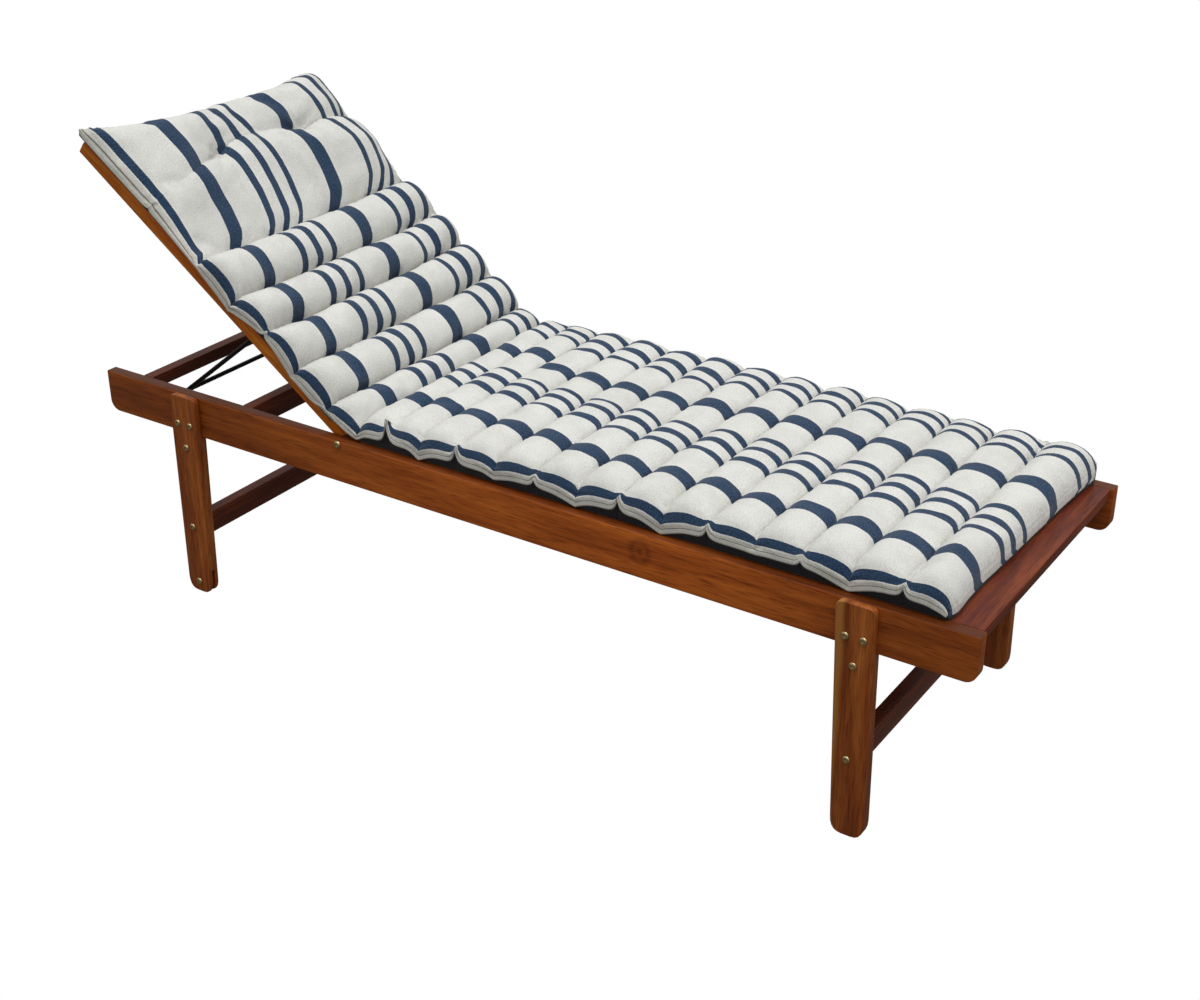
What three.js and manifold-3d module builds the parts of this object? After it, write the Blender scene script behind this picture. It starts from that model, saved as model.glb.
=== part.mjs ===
import * as THREE from 'three';
import Module from 'manifold-3d';
import { mergeVertices } from 'three/addons/utils/BufferGeometryUtils.js';

// A channel-quilted cushion lying on the wooden sun lounger that it is made for.
// Millimetres, +X towards the foot end, +Y towards the far side, +Z up, floor at z = 0.

// Clear space left between pieces that touch
const GAP = 0.3;

// Lounger frame
const FRAME_WIDTH = 614;
const SEAT_HEIGHT = 440;
const RAIL_LENGTH = 1880;
const RAIL_HEIGHT = 85;
const RAIL_THICKNESS = 24;
const RAIL_CORNER = 22;
const INNER_WIDTH = FRAME_WIDTH - 2 * RAIL_THICKNESS;

// Legs are boards bolted to the rails, rebated so that each rail rests on a shoulder
const LEG_THICKNESS = 24;
const LEG_PROUD = 13.5;
const LEG_WIDTH = 69;
const LEG_FOOT_WIDTH = 61;
const LEG_FLAT = 18;
const LEG_TOP_CORNER = 14;
const LEG_ROWS = [
  { name: 'head', x: 222, lean: -9, wheel: true, bar: 125 },
  { name: 'foot', x: 1678, lean: 11, wheel: false, bar: 132 },
];
const WHEEL_RADIUS = 23;
const WHEEL_THICKNESS = 6;
const WHEEL_SLOT = { width: 7.2, height: 52 };
const AXLE_HEIGHT = 24;

// Bars that run across between the legs or between the rails
const STRETCHER = { thickness: 25, height: 46 };
const CROSSBARS = [
  { name: 'crossbar_head', x: 80, width: 25, height: 26 },
  { name: 'crossbar_prop', x: 350, width: 25, height: 44 },
];

// Boards of the seat, their tops level with the rails
const FOOT_BOARD = { x: 1782, width: 92, thickness: 21 };
const SEAT_SLATS = { count: 10, first: 660, pitch: 112, width: 62, thickness: 18 };

// Raised back, measured from the crease where its top plane meets the seat
const BACK_ANGLE = THREE.MathUtils.degToRad(36.4);
const CREASE_X = 632;
const STILE = { depth: 38, thickness: 24, inset: 29, start: -6, end: 792, farEnd: 780, pivot: 13 };
const BACK_SLATS = { count: 7, first: 96, pitch: 99, width: 62, thickness: 14, below: 14 };

// Steel prop that holds the back up
const PROP_ROD = 4.5;
const PROP_FOOT = { x: 165, z: 415 };
const PROP_HEAD = { along: 286, above: -25 };

// Bolt heads, by their place on the outer face of a leg: along from its middle, height
const BOLT = { radius: 6, height: 3.2 };
const LEG_BOLTS = [
  { along: -16, z: 380 },
  { along: 16, z: 380 },
  { along: 0, z: 329 },
  { along: -4, z: 150 },
];

// Cushion outline
const CUSHION_NEAR = 16;
const CUSHION_FAR = 615;
const CUSHION_FOOT = 1838;
const SEAM_HALF = 2.5;
const UNDER_SEAM = 0.55;
const EDGE_CLEARANCE = 2;
const BEND_RADIUS = 126;

// Channels from the foot end up to the head panel.
// pitch: seam to seam. crown: height of the top above the slats. seam: height of the sewn line
// at the channel's head side. near, far: height of the edge seam there, below zero where it droops.
const CHANNELS = [
  { pitch: 96, crown: 66, seam: 36, near: 38, far: 46 },
  { pitch: 92, crown: 66, seam: 36, near: 1, far: 30 },
  { pitch: 86, crown: 66, seam: 36, near: 31, far: 40 },
  { pitch: 87, crown: 66, seam: 36, near: 6, far: 28 },
  { pitch: 86, crown: 66, seam: 37, near: 38, far: 40 },
  { pitch: 87, crown: 67, seam: 37, near: 1, far: 28 },
  { pitch: 86, crown: 67, seam: 38, near: 44, far: 44 },
  { pitch: 87, crown: 67, seam: 38, near: 5, far: 30 },
  { pitch: 86, crown: 67, seam: 38, near: 33, far: 40 },
  { pitch: 86, crown: 66, seam: 38, near: 10, far: 30 },
  { pitch: 85, crown: 66, seam: 38, near: 47, far: 44 },
  { pitch: 84, crown: 64, seam: 38, near: 2, far: 30 },
  { pitch: 74, crown: 60, seam: 38, near: 62, far: 52 },
  { pitch: 74, crown: 58, seam: 12, near: 1, far: 8 },
  { pitch: 82, crown: 50, seam: 8, near: -12, far: 4 },
  { pitch: 93, crown: 56, seam: 7, near: -8, far: 14 },
  { pitch: 92, crown: 57, seam: 7, near: 19, far: 2 },
  { pitch: 88, crown: 57, seam: 8, near: -13, far: 16 },
  { pitch: 102, crown: 58, seam: 8, near: 2, far: 6 },
];
const FOOT_SEAM = { height: 12, near: 14, far: 24, skew: 20, drawn: 11 };

// Head panel: two lobes, with a tufted line between them
const LOBES = [
  { pitch: 174, crown: 78, seam: 36, near: 6, far: 16, peak: 0.6 },
  { pitch: 134, crown: 76, seam: 12, near: 12, far: 16, peak: 0.45 },
];
const HEAD_CORNERS = { near: 45, far: 16, reach: 250 };
const TUFT_DROP = { near: 46, reach: 110 };

// Sampling of the cushion's surface
const CHANNEL_STEPS = [0, 0.05, 0.2, 0.5, 0.8, 0.95];
const LOBE_STEPS = [0, 0.03, 0.1, 0.22, 0.38, 0.55, 0.72, 0.88, 0.97];
const TOP_INSETS = [3, 10, 22, 40, 72, 130, 210];
const UNDER_INSETS = [5, 10, 11.8, 57, 89, 190];
const EDGE_ROUND = { near: 44, far: 32, seam: 30, under: 38 };
const LOBE_ROUND = { near: 170, far: 50, seam: 90 };

// How far the far edge runs out beyond its line, by distance from the foot end, and how wide a strip moves
const FAR_FLARE = [
  { distance: 0, out: 4 },
  { distance: 1245, out: 6 },
  { distance: 1640, out: 14 },
  { distance: 1970, out: 16 },
];
const FLARE_STRIP = 28;

// Between the stiles the slats lie lower, and the cushion sinks to them behind the stiles
const SINK = { from: 57, run: 32, ease: 60 };

// Finishes
const wood = new THREE.MeshStandardMaterial({ color: 0x7a3d1c, roughness: 0.5, metalness: 0 });
const steel = new THREE.MeshStandardMaterial({ color: 0x1c1d1a, roughness: 0.45, metalness: 0.8 });
const brass = new THREE.MeshStandardMaterial({ color: 0xa8946a, roughness: 0.35, metalness: 1 });
const plastic = new THREE.MeshStandardMaterial({ color: 0x17120e, roughness: 0.6, metalness: 0 });
const canvas = new THREE.MeshStandardMaterial({ color: 0xe2dfda, roughness: 0.95, metalness: 0 });

const wasm = await Module();
wasm.setup();

const lounger = new THREE.Group();

function addMesh(name, geometry, material, x = 0, y = 0, z = 0) {
  const mesh = new THREE.Mesh(geometry, material);
  mesh.name = name;
  mesh.position.set(x, y, z);
  lounger.add(mesh);
  return mesh;
}

// A box given by its lowest corner and its size
function addBoard(name, corner, size, material = wood) {
  const geometry = new THREE.BoxGeometry(size.x, size.y, size.z);
  const mesh = addMesh(name, geometry, material);
  mesh.position.set(corner.x + size.x / 2, corner.y + size.y / 2, corner.z + size.z / 2);
  return mesh;
}

// An outline in the X-Z plane given a thickness along Y, from the origin towards +Y
function extrudeAlongY(shape, thickness) {
  const geometry = new THREE.ExtrudeGeometry(shape, {
    depth: thickness,
    bevelEnabled: false,
    curveSegments: 5,
  });
  geometry.rotateX(Math.PI / 2);
  geometry.translate(0, thickness, 0);
  return geometry;
}

// A closed mesh's merged triangles as a solid for cutting
function toSolid(geometry) {
  const bare = geometry.clone();
  bare.deleteAttribute('normal');
  bare.deleteAttribute('uv');
  const merged = mergeVertices(bare, 1e-4);
  return new wasm.Manifold(new wasm.Mesh({
    numProp: 3,
    vertProperties: new Float32Array(merged.attributes.position.array),
    triVerts: new Uint32Array(merged.index.array),
  }));
}

function fromSolid(solid) {
  const mesh = solid.getMesh();
  const geometry = new THREE.BufferGeometry();
  geometry.setAttribute('position', new THREE.BufferAttribute(mesh.vertProperties, 3));
  geometry.setIndex(new THREE.BufferAttribute(mesh.triVerts, 1));
  return geometry;
}

// A point on the raised back: distance up from the crease, height above the back's top plane
function backPoint(along, above) {
  const cos = Math.cos(BACK_ANGLE);
  const sin = Math.sin(BACK_ANGLE);
  return {
    x: CREASE_X - along * cos + above * sin,
    z: SEAT_HEIGHT + along * sin + above * cos,
  };
}

// Side rails, their lower corners rounded
function railShape() {
  const shape = new THREE.Shape();
  const bottom = SEAT_HEIGHT - RAIL_HEIGHT;
  shape.moveTo(0, SEAT_HEIGHT);
  shape.lineTo(0, bottom + RAIL_CORNER);
  shape.absarc(RAIL_CORNER, bottom + RAIL_CORNER, RAIL_CORNER, Math.PI, 1.5 * Math.PI, false);
  const footCentre = RAIL_LENGTH - RAIL_CORNER;
  shape.lineTo(footCentre, bottom);
  shape.absarc(footCentre, bottom + RAIL_CORNER, RAIL_CORNER, 1.5 * Math.PI, 2 * Math.PI, false);
  shape.lineTo(RAIL_LENGTH, SEAT_HEIGHT);
  return shape;
}

function buildRails() {
  const geometry = extrudeAlongY(railShape(), RAIL_THICKNESS);
  addMesh('rail_near', geometry, wood);
  addMesh('rail_far', geometry, wood, 0, FRAME_WIDTH - RAIL_THICKNESS, 0);
}

// Leg outline: level with the rail's top, tapered, leaning, with a rounded foot that has a small flat
function legShape(row) {
  const top = LEG_WIDTH / 2;
  const foot = LEG_FOOT_WIDTH / 2;
  const middle = row.x + row.lean;
  const shape = new THREE.Shape();
  shape.moveTo(row.x - top, SEAT_HEIGHT - LEG_TOP_CORNER);
  shape.lineTo(middle - foot, foot);
  shape.quadraticCurveTo(middle - foot, 0, middle - LEG_FLAT / 2, 0);
  shape.lineTo(middle + LEG_FLAT / 2, 0);
  shape.quadraticCurveTo(middle + foot, 0, middle + foot, foot);
  shape.lineTo(row.x + top, SEAT_HEIGHT - LEG_TOP_CORNER);
  shape.quadraticCurveTo(row.x + top, SEAT_HEIGHT, row.x + top - LEG_TOP_CORNER, SEAT_HEIGHT);
  shape.lineTo(row.x - top + LEG_TOP_CORNER, SEAT_HEIGHT);
  shape.quadraticCurveTo(row.x - top, SEAT_HEIGHT, row.x - top, SEAT_HEIGHT - LEG_TOP_CORNER);
  return shape;
}

// A near leg, its outer face at y = 0: cut away behind the rail, and the head legs slotted for a wheel
function legSolid(row) {
  const board = toSolid(extrudeAlongY(legShape(row), LEG_THICKNESS));
  const rebate = new THREE.BoxGeometry(2 * LEG_WIDTH, LEG_THICKNESS, 2 * (RAIL_HEIGHT + GAP));
  rebate.translate(row.x, LEG_PROUD - GAP + LEG_THICKNESS / 2, SEAT_HEIGHT);
  const rebated = board.subtract(toSolid(rebate));
  if (!row.wheel) return rebated;
  const slot = new THREE.BoxGeometry(2 * LEG_WIDTH, WHEEL_SLOT.width, 2 * WHEEL_SLOT.height);
  slot.translate(row.x + row.lean, LEG_THICKNESS / 2, 0);
  return rebated.subtract(toSolid(slot));
}

function buildLegs() {
  const wheel = new THREE.CylinderGeometry(WHEEL_RADIUS, WHEEL_RADIUS, WHEEL_THICKNESS, 20);
  for (const row of LEG_ROWS) {
    const near = legSolid(row);
    const far = near.mirror([0, 1, 0]);
    addMesh(`leg_${row.name}_near`, fromSolid(near), wood, 0, -LEG_PROUD, 0);
    addMesh(`leg_${row.name}_far`, fromSolid(far), wood, 0, FRAME_WIDTH + LEG_PROUD, 0);
    if (row.wheel) {
      const middle = LEG_THICKNESS / 2 - LEG_PROUD;
      addMesh('wheel_near', wheel, plastic, row.x + row.lean, middle, AXLE_HEIGHT);
      addMesh('wheel_far', wheel, plastic, row.x + row.lean, FRAME_WIDTH - middle, AXLE_HEIGHT);
    }
    const inner = LEG_THICKNESS - LEG_PROUD + GAP;
    const shift = row.lean * (1 - row.bar / SEAT_HEIGHT);
    const corner = { x: row.x + shift - STRETCHER.thickness / 2, y: inner, z: row.bar };
    const size = { x: STRETCHER.thickness, y: FRAME_WIDTH - 2 * inner, z: STRETCHER.height };
    addBoard(`stretcher_${row.name}`, corner, size);
  }
}

function buildSeat() {
  const y = RAIL_THICKNESS + GAP;
  const length = INNER_WIDTH - 2 * GAP;
  for (const bar of CROSSBARS) {
    const corner = { x: bar.x, y, z: SEAT_HEIGHT - bar.height };
    addBoard(bar.name, corner, { x: bar.width, y: length, z: bar.height });
  }
  const { thickness } = FOOT_BOARD;
  addBoard('foot_board', { x: FOOT_BOARD.x, y, z: SEAT_HEIGHT - thickness },
    { x: FOOT_BOARD.width, y: length, z: thickness });
  for (let i = 0; i < SEAT_SLATS.count; i += 1) {
    const corner = { x: SEAT_SLATS.first + i * SEAT_SLATS.pitch, y, z: SEAT_HEIGHT - SEAT_SLATS.thickness };
    addBoard(`seat_slat_${i + 1}`, corner, { x: SEAT_SLATS.width, y: length, z: SEAT_SLATS.thickness });
  }
}

// A stile lies along the back with rounded ends; its outline is drawn flat and then tilted
function stileGeometry(end) {
  const round = STILE.depth / 2;
  const shape = new THREE.Shape();
  shape.moveTo(-STILE.start - round, 0);
  shape.lineTo(-end + round, 0);
  shape.quadraticCurveTo(-end, 0, -end, -round);
  shape.lineTo(-end, -STILE.depth);
  shape.lineTo(-STILE.start - round, -STILE.depth);
  shape.absarc(-STILE.start - round, -round, round, 1.5 * Math.PI, 2.5 * Math.PI, false);
  return extrudeAlongY(shape, STILE.thickness);
}

function buildBack() {
  const inside = STILE.inset + STILE.thickness;
  const back = new THREE.Group();
  back.position.set(CREASE_X, 0, SEAT_HEIGHT);
  back.rotation.y = BACK_ANGLE;
  lounger.add(back);
  const places = [
    { name: 'near', y: STILE.inset, end: STILE.end },
    { name: 'far', y: FRAME_WIDTH - inside, end: STILE.farEnd },
  ];
  for (const { name, y, end } of places) {
    back.add(addMesh(`stile_${name}`, stileGeometry(end), wood, 0, y, 0));
  }
  for (let i = 0; i < BACK_SLATS.count; i += 1) {
    const along = BACK_SLATS.first + i * BACK_SLATS.pitch;
    const bottom = -BACK_SLATS.below - BACK_SLATS.thickness;
    const corner = { x: -along - BACK_SLATS.width, y: inside + GAP, z: bottom };
    const size = { x: BACK_SLATS.width, y: FRAME_WIDTH - 2 * (inside + GAP), z: BACK_SLATS.thickness };
    back.add(addBoard(`back_slat_${i + 1}`, corner, size));
  }
}

// A round bar between two points, its ends square
function addRod(name, from, to, radius, material, sides = 10) {
  const start = new THREE.Vector3(from.x, from.y, from.z);
  const end = new THREE.Vector3(to.x, to.y, to.z);
  const direction = end.clone().sub(start);
  const geometry = new THREE.CylinderGeometry(radius, radius, direction.length(), sides);
  const mesh = addMesh(name, geometry, material);
  mesh.quaternion.setFromUnitVectors(new THREE.Vector3(0, 1, 0), direction.normalize());
  mesh.position.copy(start.add(end).multiplyScalar(0.5));
}

// The prop's foot rod lies between the rails, and its arms run up inside the stiles
function buildProp() {
  const nearEnd = { ...PROP_FOOT, y: RAIL_THICKNESS + GAP };
  const farEnd = { ...PROP_FOOT, y: FRAME_WIDTH - RAIL_THICKNESS - GAP };
  addRod('prop_foot', nearEnd, farEnd, PROP_ROD, steel);
  const head = backPoint(PROP_HEAD.along, PROP_HEAD.above);
  const length = Math.hypot(head.x - PROP_FOOT.x, head.z - PROP_FOOT.z);
  const clear = (PROP_ROD + GAP) / length;
  const foot = {
    x: THREE.MathUtils.lerp(PROP_FOOT.x, head.x, clear),
    z: THREE.MathUtils.lerp(PROP_FOOT.z, head.z, clear),
  };
  const inside = STILE.inset + STILE.thickness + GAP + PROP_ROD;
  for (const side of [{ name: 'near', y: inside }, { name: 'far', y: FRAME_WIDTH - inside }]) {
    addRod(`prop_arm_${side.name}`, { ...foot, y: side.y }, { ...head, y: side.y }, PROP_ROD, steel);
  }
}

// Bolt heads on the outer faces, and the washers that the back turns on
function buildFastenings() {
  const outer = LEG_PROUD + GAP;
  const pivot = backPoint(STILE.pivot, -STILE.depth / 2);
  const places = [{ name: 'hinge', x: pivot.x, z: pivot.z, out: GAP }];
  for (const row of LEG_ROWS) {
    LEG_BOLTS.forEach((bolt, i) => {
      const shift = row.lean * (1 - bolt.z / SEAT_HEIGHT);
      places.push({ name: `${row.name}_${i + 1}`, x: row.x + shift + bolt.along, z: bolt.z, out: outer });
    });
    if (row.wheel) places.push({ name: 'axle', x: row.x + row.lean, z: AXLE_HEIGHT, out: outer });
  }
  for (const { name, x, z, out } of places) {
    const near = -out;
    const far = FRAME_WIDTH + out;
    addRod(`bolt_${name}_near`, { x, y: near - BOLT.height, z }, { x, y: near, z }, BOLT.radius, brass);
    addRod(`bolt_${name}_far`, { x, y: far, z }, { x, y: far + BOLT.height, z }, BOLT.radius, brass);
  }
  const washer = { from: RAIL_THICKNESS + GAP, to: STILE.inset - GAP };
  addRod('washer_near', { ...pivot, y: washer.from }, { ...pivot, y: washer.to }, 10, steel, 14);
  addRod('washer_far', { ...pivot, y: FRAME_WIDTH - washer.to },
    { ...pivot, y: FRAME_WIDTH - washer.from }, 10, steel, 14);
}

// Seams of the cushion, foot end first, with the rounded space that follows each
function cushionSections() {
  const sections = [];
  let start = 0;
  let before = { seam: FOOT_SEAM.height, near: FOOT_SEAM.near, far: FOOT_SEAM.far };
  for (const row of [...CHANNELS, ...LOBES]) {
    const { pitch, crown, peak = 0.5 } = row;
    const round = LOBES.includes(row) ? LOBE_ROUND : EDGE_ROUND;
    sections.push({ start, pitch, crown, peak, round, before, after: row });
    start += row.pitch;
    before = row;
  }
  return sections;
}

// Rise of a filled space between two seams: zero at both, one at its peak, round like an ellipse
function humpRise(t, peak) {
  const even = t ** (Math.log(0.5) / Math.log(peak));
  return Math.sqrt(Math.max(0, 1 - (2 * even - 1) ** 2));
}

// Quarter of an ellipse: zero at the edge, one from a full round inwards
function edgeRise(inset, round) {
  const q = Math.min(1, inset / round);
  return Math.sqrt(1 - (1 - q) ** 2);
}

// Where the base line of the cushion lies, at a distance from the foot end, and its slope
function baseLine(distance) {
  const bendLength = BEND_RADIUS * BACK_ANGLE;
  const tangent = BEND_RADIUS * Math.tan(BACK_ANGLE / 2);
  const flat = CUSHION_FOOT - CREASE_X - tangent;
  if (distance <= flat) return { x: CUSHION_FOOT - distance, z: SEAT_HEIGHT, angle: 0 };
  if (distance <= flat + bendLength) {
    const angle = (distance - flat) / BEND_RADIUS;
    return {
      x: CREASE_X + tangent - BEND_RADIUS * Math.sin(angle),
      z: SEAT_HEIGHT + BEND_RADIUS * (1 - Math.cos(angle)),
      angle,
    };
  }
  const point = backPoint(tangent + distance - flat - bendLength, 0);
  return { ...point, angle: BACK_ANGLE };
}

// A point of the cushion: distance from the foot end, place across, height above the slats
function cushionPoint(distance, y, height) {
  const base = baseLine(distance);
  const z = base.z + height * Math.cos(base.angle);
  return [base.x + height * Math.sin(base.angle), y, Math.max(z, SEAT_HEIGHT + GAP)];
}

// How far the cushion sinks behind the stiles, at a distance from the foot end and an inset from its edge
function sinkDepth(distance, inset) {
  const bendExtra = BEND_RADIUS * (BACK_ANGLE - Math.tan(BACK_ANGLE / 2));
  const backStart = CUSHION_FOOT - CREASE_X + bendExtra;
  const along = THREE.MathUtils.smoothstep(distance, backStart, backStart + SINK.ease);
  return BACK_SLATS.below * along * THREE.MathUtils.smoothstep(inset, SINK.from, SINK.from + SINK.run);
}

// Lowest that the underside may lie: on the slats, and clear of a stile's edge that it droops over
function undersideLimit(distance, inset, edge) {
  if (baseLine(distance).angle < BACK_ANGLE) return GAP;
  const stileFace = edge === 'near' ? STILE.inset - CUSHION_NEAR : CUSHION_FAR - FRAME_WIDTH + STILE.inset;
  if (inset < stileFace - EDGE_CLEARANCE) return -STILE.depth;
  return inset < stileFace + EDGE_CLEARANCE ? EDGE_CLEARANCE : GAP;
}

// How far the far edge runs out at a distance from the foot end, and at an inset from it
function flareAt(distance, inset) {
  const next = Math.max(1, FAR_FLARE.findIndex((row) => row.distance >= distance));
  const [from, to] = [FAR_FLARE[next - 1], FAR_FLARE[next]];
  const t = (distance - from.distance) / (to.distance - from.distance);
  return THREE.MathUtils.lerp(from.out, to.out, t) * Math.max(0, 1 - inset / FLARE_STRIP);
}

// The foot end lies askew and is drawn in between its corners, the head end runs out to its corners, and
// the tufted line drops near the edge
function seamShift(section, t, inset, edge) {
  if (section.start === 0) {
    const across = inset / (CUSHION_FAR - CUSHION_NEAR);
    const askew = FOOT_SEAM.skew * (edge === 'near' ? 0.5 - across : across - 0.5);
    const drawn = FOOT_SEAM.drawn * (1 - (1 - 2 * across) ** 6);
    return (askew + drawn) * (1 - t);
  }
  const toCorner = Math.max(0, 1 - inset / HEAD_CORNERS.reach) ** 2;
  const toDrop = edge === 'near' ? Math.max(0, 1 - inset / TUFT_DROP.reach) ** 2 : 0;
  const drop = -TUFT_DROP.near * toDrop;
  if (section.after === LOBES[0]) return drop * t;
  if (section.after === LOBES[1]) return HEAD_CORNERS[edge] * toCorner * t + drop * (1 - t);
  return 0;
}

// Heights of the top and the underside at one place of a section
function sectionHeights(section, t, inset, edge) {
  const distance = section.start + t * section.pitch;
  const limit = undersideLimit(distance, inset, edge);
  const sink = sinkDepth(distance, inset);
  const rise = humpRise(t, section.peak);
  const seam = THREE.MathUtils.lerp(section.before.seam, section.after.seam, t);
  const lip = THREE.MathUtils.lerp(section.before[edge], section.after[edge], t);
  const top = seam + SEAM_HALF + (section.crown - seam - SEAM_HALF) * rise;
  const under = (seam * UNDER_SEAM - SEAM_HALF) * (1 - rise);
  const overStile = section.round === LOBE_ROUND ? (BACK_SLATS.below - sink) * rise : 0;
  const topRound = THREE.MathUtils.lerp(section.round.seam, section.round[edge], rise);
  const curvedUnder = THREE.MathUtils.lerp(lip - SEAM_HALF, under, edgeRise(inset, EDGE_ROUND.under));
  return {
    top: THREE.MathUtils.lerp(lip + SEAM_HALF, top - overStile, edgeRise(inset, topRound)) - sink,
    under: Math.max(limit, curvedUnder) - sink,
    lip: Math.max(limit, lip),
  };
}

// One closed ring round the cushion: near lip, over the top, far lip, back along the underside
function cushionRing(section, t) {
  const width = CUSHION_FAR - CUSHION_NEAR;
  const distance = section.start + t * section.pitch;
  const points = [];
  const place = (inset, edge, key) => {
    const heights = sectionHeights(section, t, inset, edge);
    const far = CUSHION_FAR - inset + flareAt(distance, inset);
    const y = edge === 'near' ? CUSHION_NEAR + inset : far;
    points.push(cushionPoint(distance + seamShift(section, t, inset, edge), y, heights[key]));
  };
  place(0, 'near', 'lip');
  TOP_INSETS.forEach((inset) => place(inset, 'near', 'top'));
  place(width / 2, 'near', 'top');
  TOP_INSETS.toReversed().forEach((inset) => place(inset, 'far', 'top'));
  place(0, 'far', 'lip');
  UNDER_INSETS.forEach((inset) => place(inset, 'far', 'under'));
  UNDER_INSETS.toReversed().forEach((inset) => place(inset, 'near', 'under'));
  return points;
}

// Rings joined into one closed surface, each end closed by a fan
function loftRings(rings) {
  const count = rings[0].length;
  const positions = rings.flat();
  const indices = [];
  for (let i = 0; i < rings.length - 1; i += 1) {
    for (let j = 0; j < count; j += 1) {
      const a = i * count + j;
      const b = i * count + ((j + 1) % count);
      indices.push(a, b, a + count, b, b + count, a + count);
    }
  }
  for (const last of [false, true]) {
    const start = last ? (rings.length - 1) * count : 0;
    const middle = positions.length;
    const ring = rings[last ? rings.length - 1 : 0];
    positions.push([0, 1, 2].map((axis) => ring.reduce((sum, point) => sum + point[axis], 0) / count));
    for (let j = 0; j < count; j += 1) {
      const a = start + j;
      const b = start + ((j + 1) % count);
      indices.push(...(last ? [a, b, middle] : [b, a, middle]));
    }
  }
  const geometry = new THREE.BufferGeometry();
  geometry.setAttribute('position', new THREE.Float32BufferAttribute(positions.flat(), 3));
  geometry.setIndex(indices);
  geometry.computeVertexNormals();
  return geometry;
}

function buildCushion() {
  const sections = cushionSections();
  const rings = [];
  sections.forEach((section, i) => {
    const steps = i < CHANNELS.length ? CHANNEL_STEPS : LOBE_STEPS;
    steps.forEach((t) => rings.push(cushionRing(section, t)));
  });
  rings.push(cushionRing(sections.at(-1), 1));
  addMesh('cushion', loftRings(rings), canvas);
}

buildRails();
buildLegs();
buildSeat();
buildBack();
buildProp();
buildFastenings();
buildCushion();

// The origin is the middle of the floor area that the whole lounger covers
const bounds = new THREE.Box3().setFromObject(lounger);
const centre = bounds.getCenter(new THREE.Vector3());
lounger.position.set(-centre.x, -centre.y, -bounds.min.z);

export default lounger;
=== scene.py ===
import math

import bmesh
import bpy
import numpy as np
from mathutils import Matrix, Vector


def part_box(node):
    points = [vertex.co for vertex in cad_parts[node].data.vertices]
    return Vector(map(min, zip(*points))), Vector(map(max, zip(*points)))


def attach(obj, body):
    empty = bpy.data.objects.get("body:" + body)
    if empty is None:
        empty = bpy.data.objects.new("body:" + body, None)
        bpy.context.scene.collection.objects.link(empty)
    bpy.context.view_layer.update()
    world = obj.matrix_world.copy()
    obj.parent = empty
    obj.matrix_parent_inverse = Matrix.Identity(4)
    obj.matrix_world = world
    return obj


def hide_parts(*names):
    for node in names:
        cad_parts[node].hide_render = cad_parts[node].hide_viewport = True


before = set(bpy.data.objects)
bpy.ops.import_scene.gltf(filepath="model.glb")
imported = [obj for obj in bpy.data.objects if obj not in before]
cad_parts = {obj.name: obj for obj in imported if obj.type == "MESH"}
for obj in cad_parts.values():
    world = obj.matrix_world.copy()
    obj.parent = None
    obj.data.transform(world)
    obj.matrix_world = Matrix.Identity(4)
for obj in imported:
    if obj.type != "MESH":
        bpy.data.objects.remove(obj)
rail_low, rail_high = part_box("rail_near")
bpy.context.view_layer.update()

# Camera: a three-quarter view from the foot end, a little above the lounger.
# Its place is given from the outer head corner of the near rail, in metres.
CAMERA_FROM_RAIL = (2.66638, -2.22319)
CAMERA_HEIGHT = 1.84882
YAW, PITCH, ROLL = (math.radians(angle) for angle in (33.522, 27.153, -0.124))

camera_data = bpy.data.cameras.new("camera")
camera_data.sensor_fit = "HORIZONTAL"
camera_data.sensor_width = 36
camera_data.lens = 53.524
camera = bpy.data.objects.new("camera", camera_data)
bpy.context.scene.collection.objects.link(camera)
back = Vector((math.sin(YAW) * math.cos(PITCH), -math.cos(YAW) * math.cos(PITCH), math.sin(PITCH)))
right = Vector((math.cos(YAW), math.sin(YAW), 0))
up = back.cross(right)
turned_right = right * math.cos(ROLL) + up * math.sin(ROLL)
turned_up = up * math.cos(ROLL) - right * math.sin(ROLL)
turn = Matrix((turned_right, turned_up, back)).transposed().to_4x4()
place = Vector((rail_low[0] + CAMERA_FROM_RAIL[0], rail_low[1] + CAMERA_FROM_RAIL[1], CAMERA_HEIGHT))
camera.matrix_world = Matrix.Translation(place) @ turn
bpy.context.scene.camera = camera


# Cushion cover and filling: striped cotton canvas, two panels sewn together along a rolled edge,
# quilted across into channels, with a head pillow of two lobes pulled together along a tufted line.
# It lies along the seat and up the raised back, and its edge dips and rises at the channel seams.
MM = 0.001
HEAD_X, NEAR_Y = rail_low[0] / MM, rail_low[1] / MM
SEAT_TOP = rail_high[2] / MM
BACK_ANGLE = math.radians(36.4)
CREASE_X = 632
BEND_RADIUS = 126
CUSHION_NEAR, CUSHION_FAR, CUSHION_FOOT = 16, 615, 1838
WIDTH = CUSHION_FAR - CUSHION_NEAR

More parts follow.
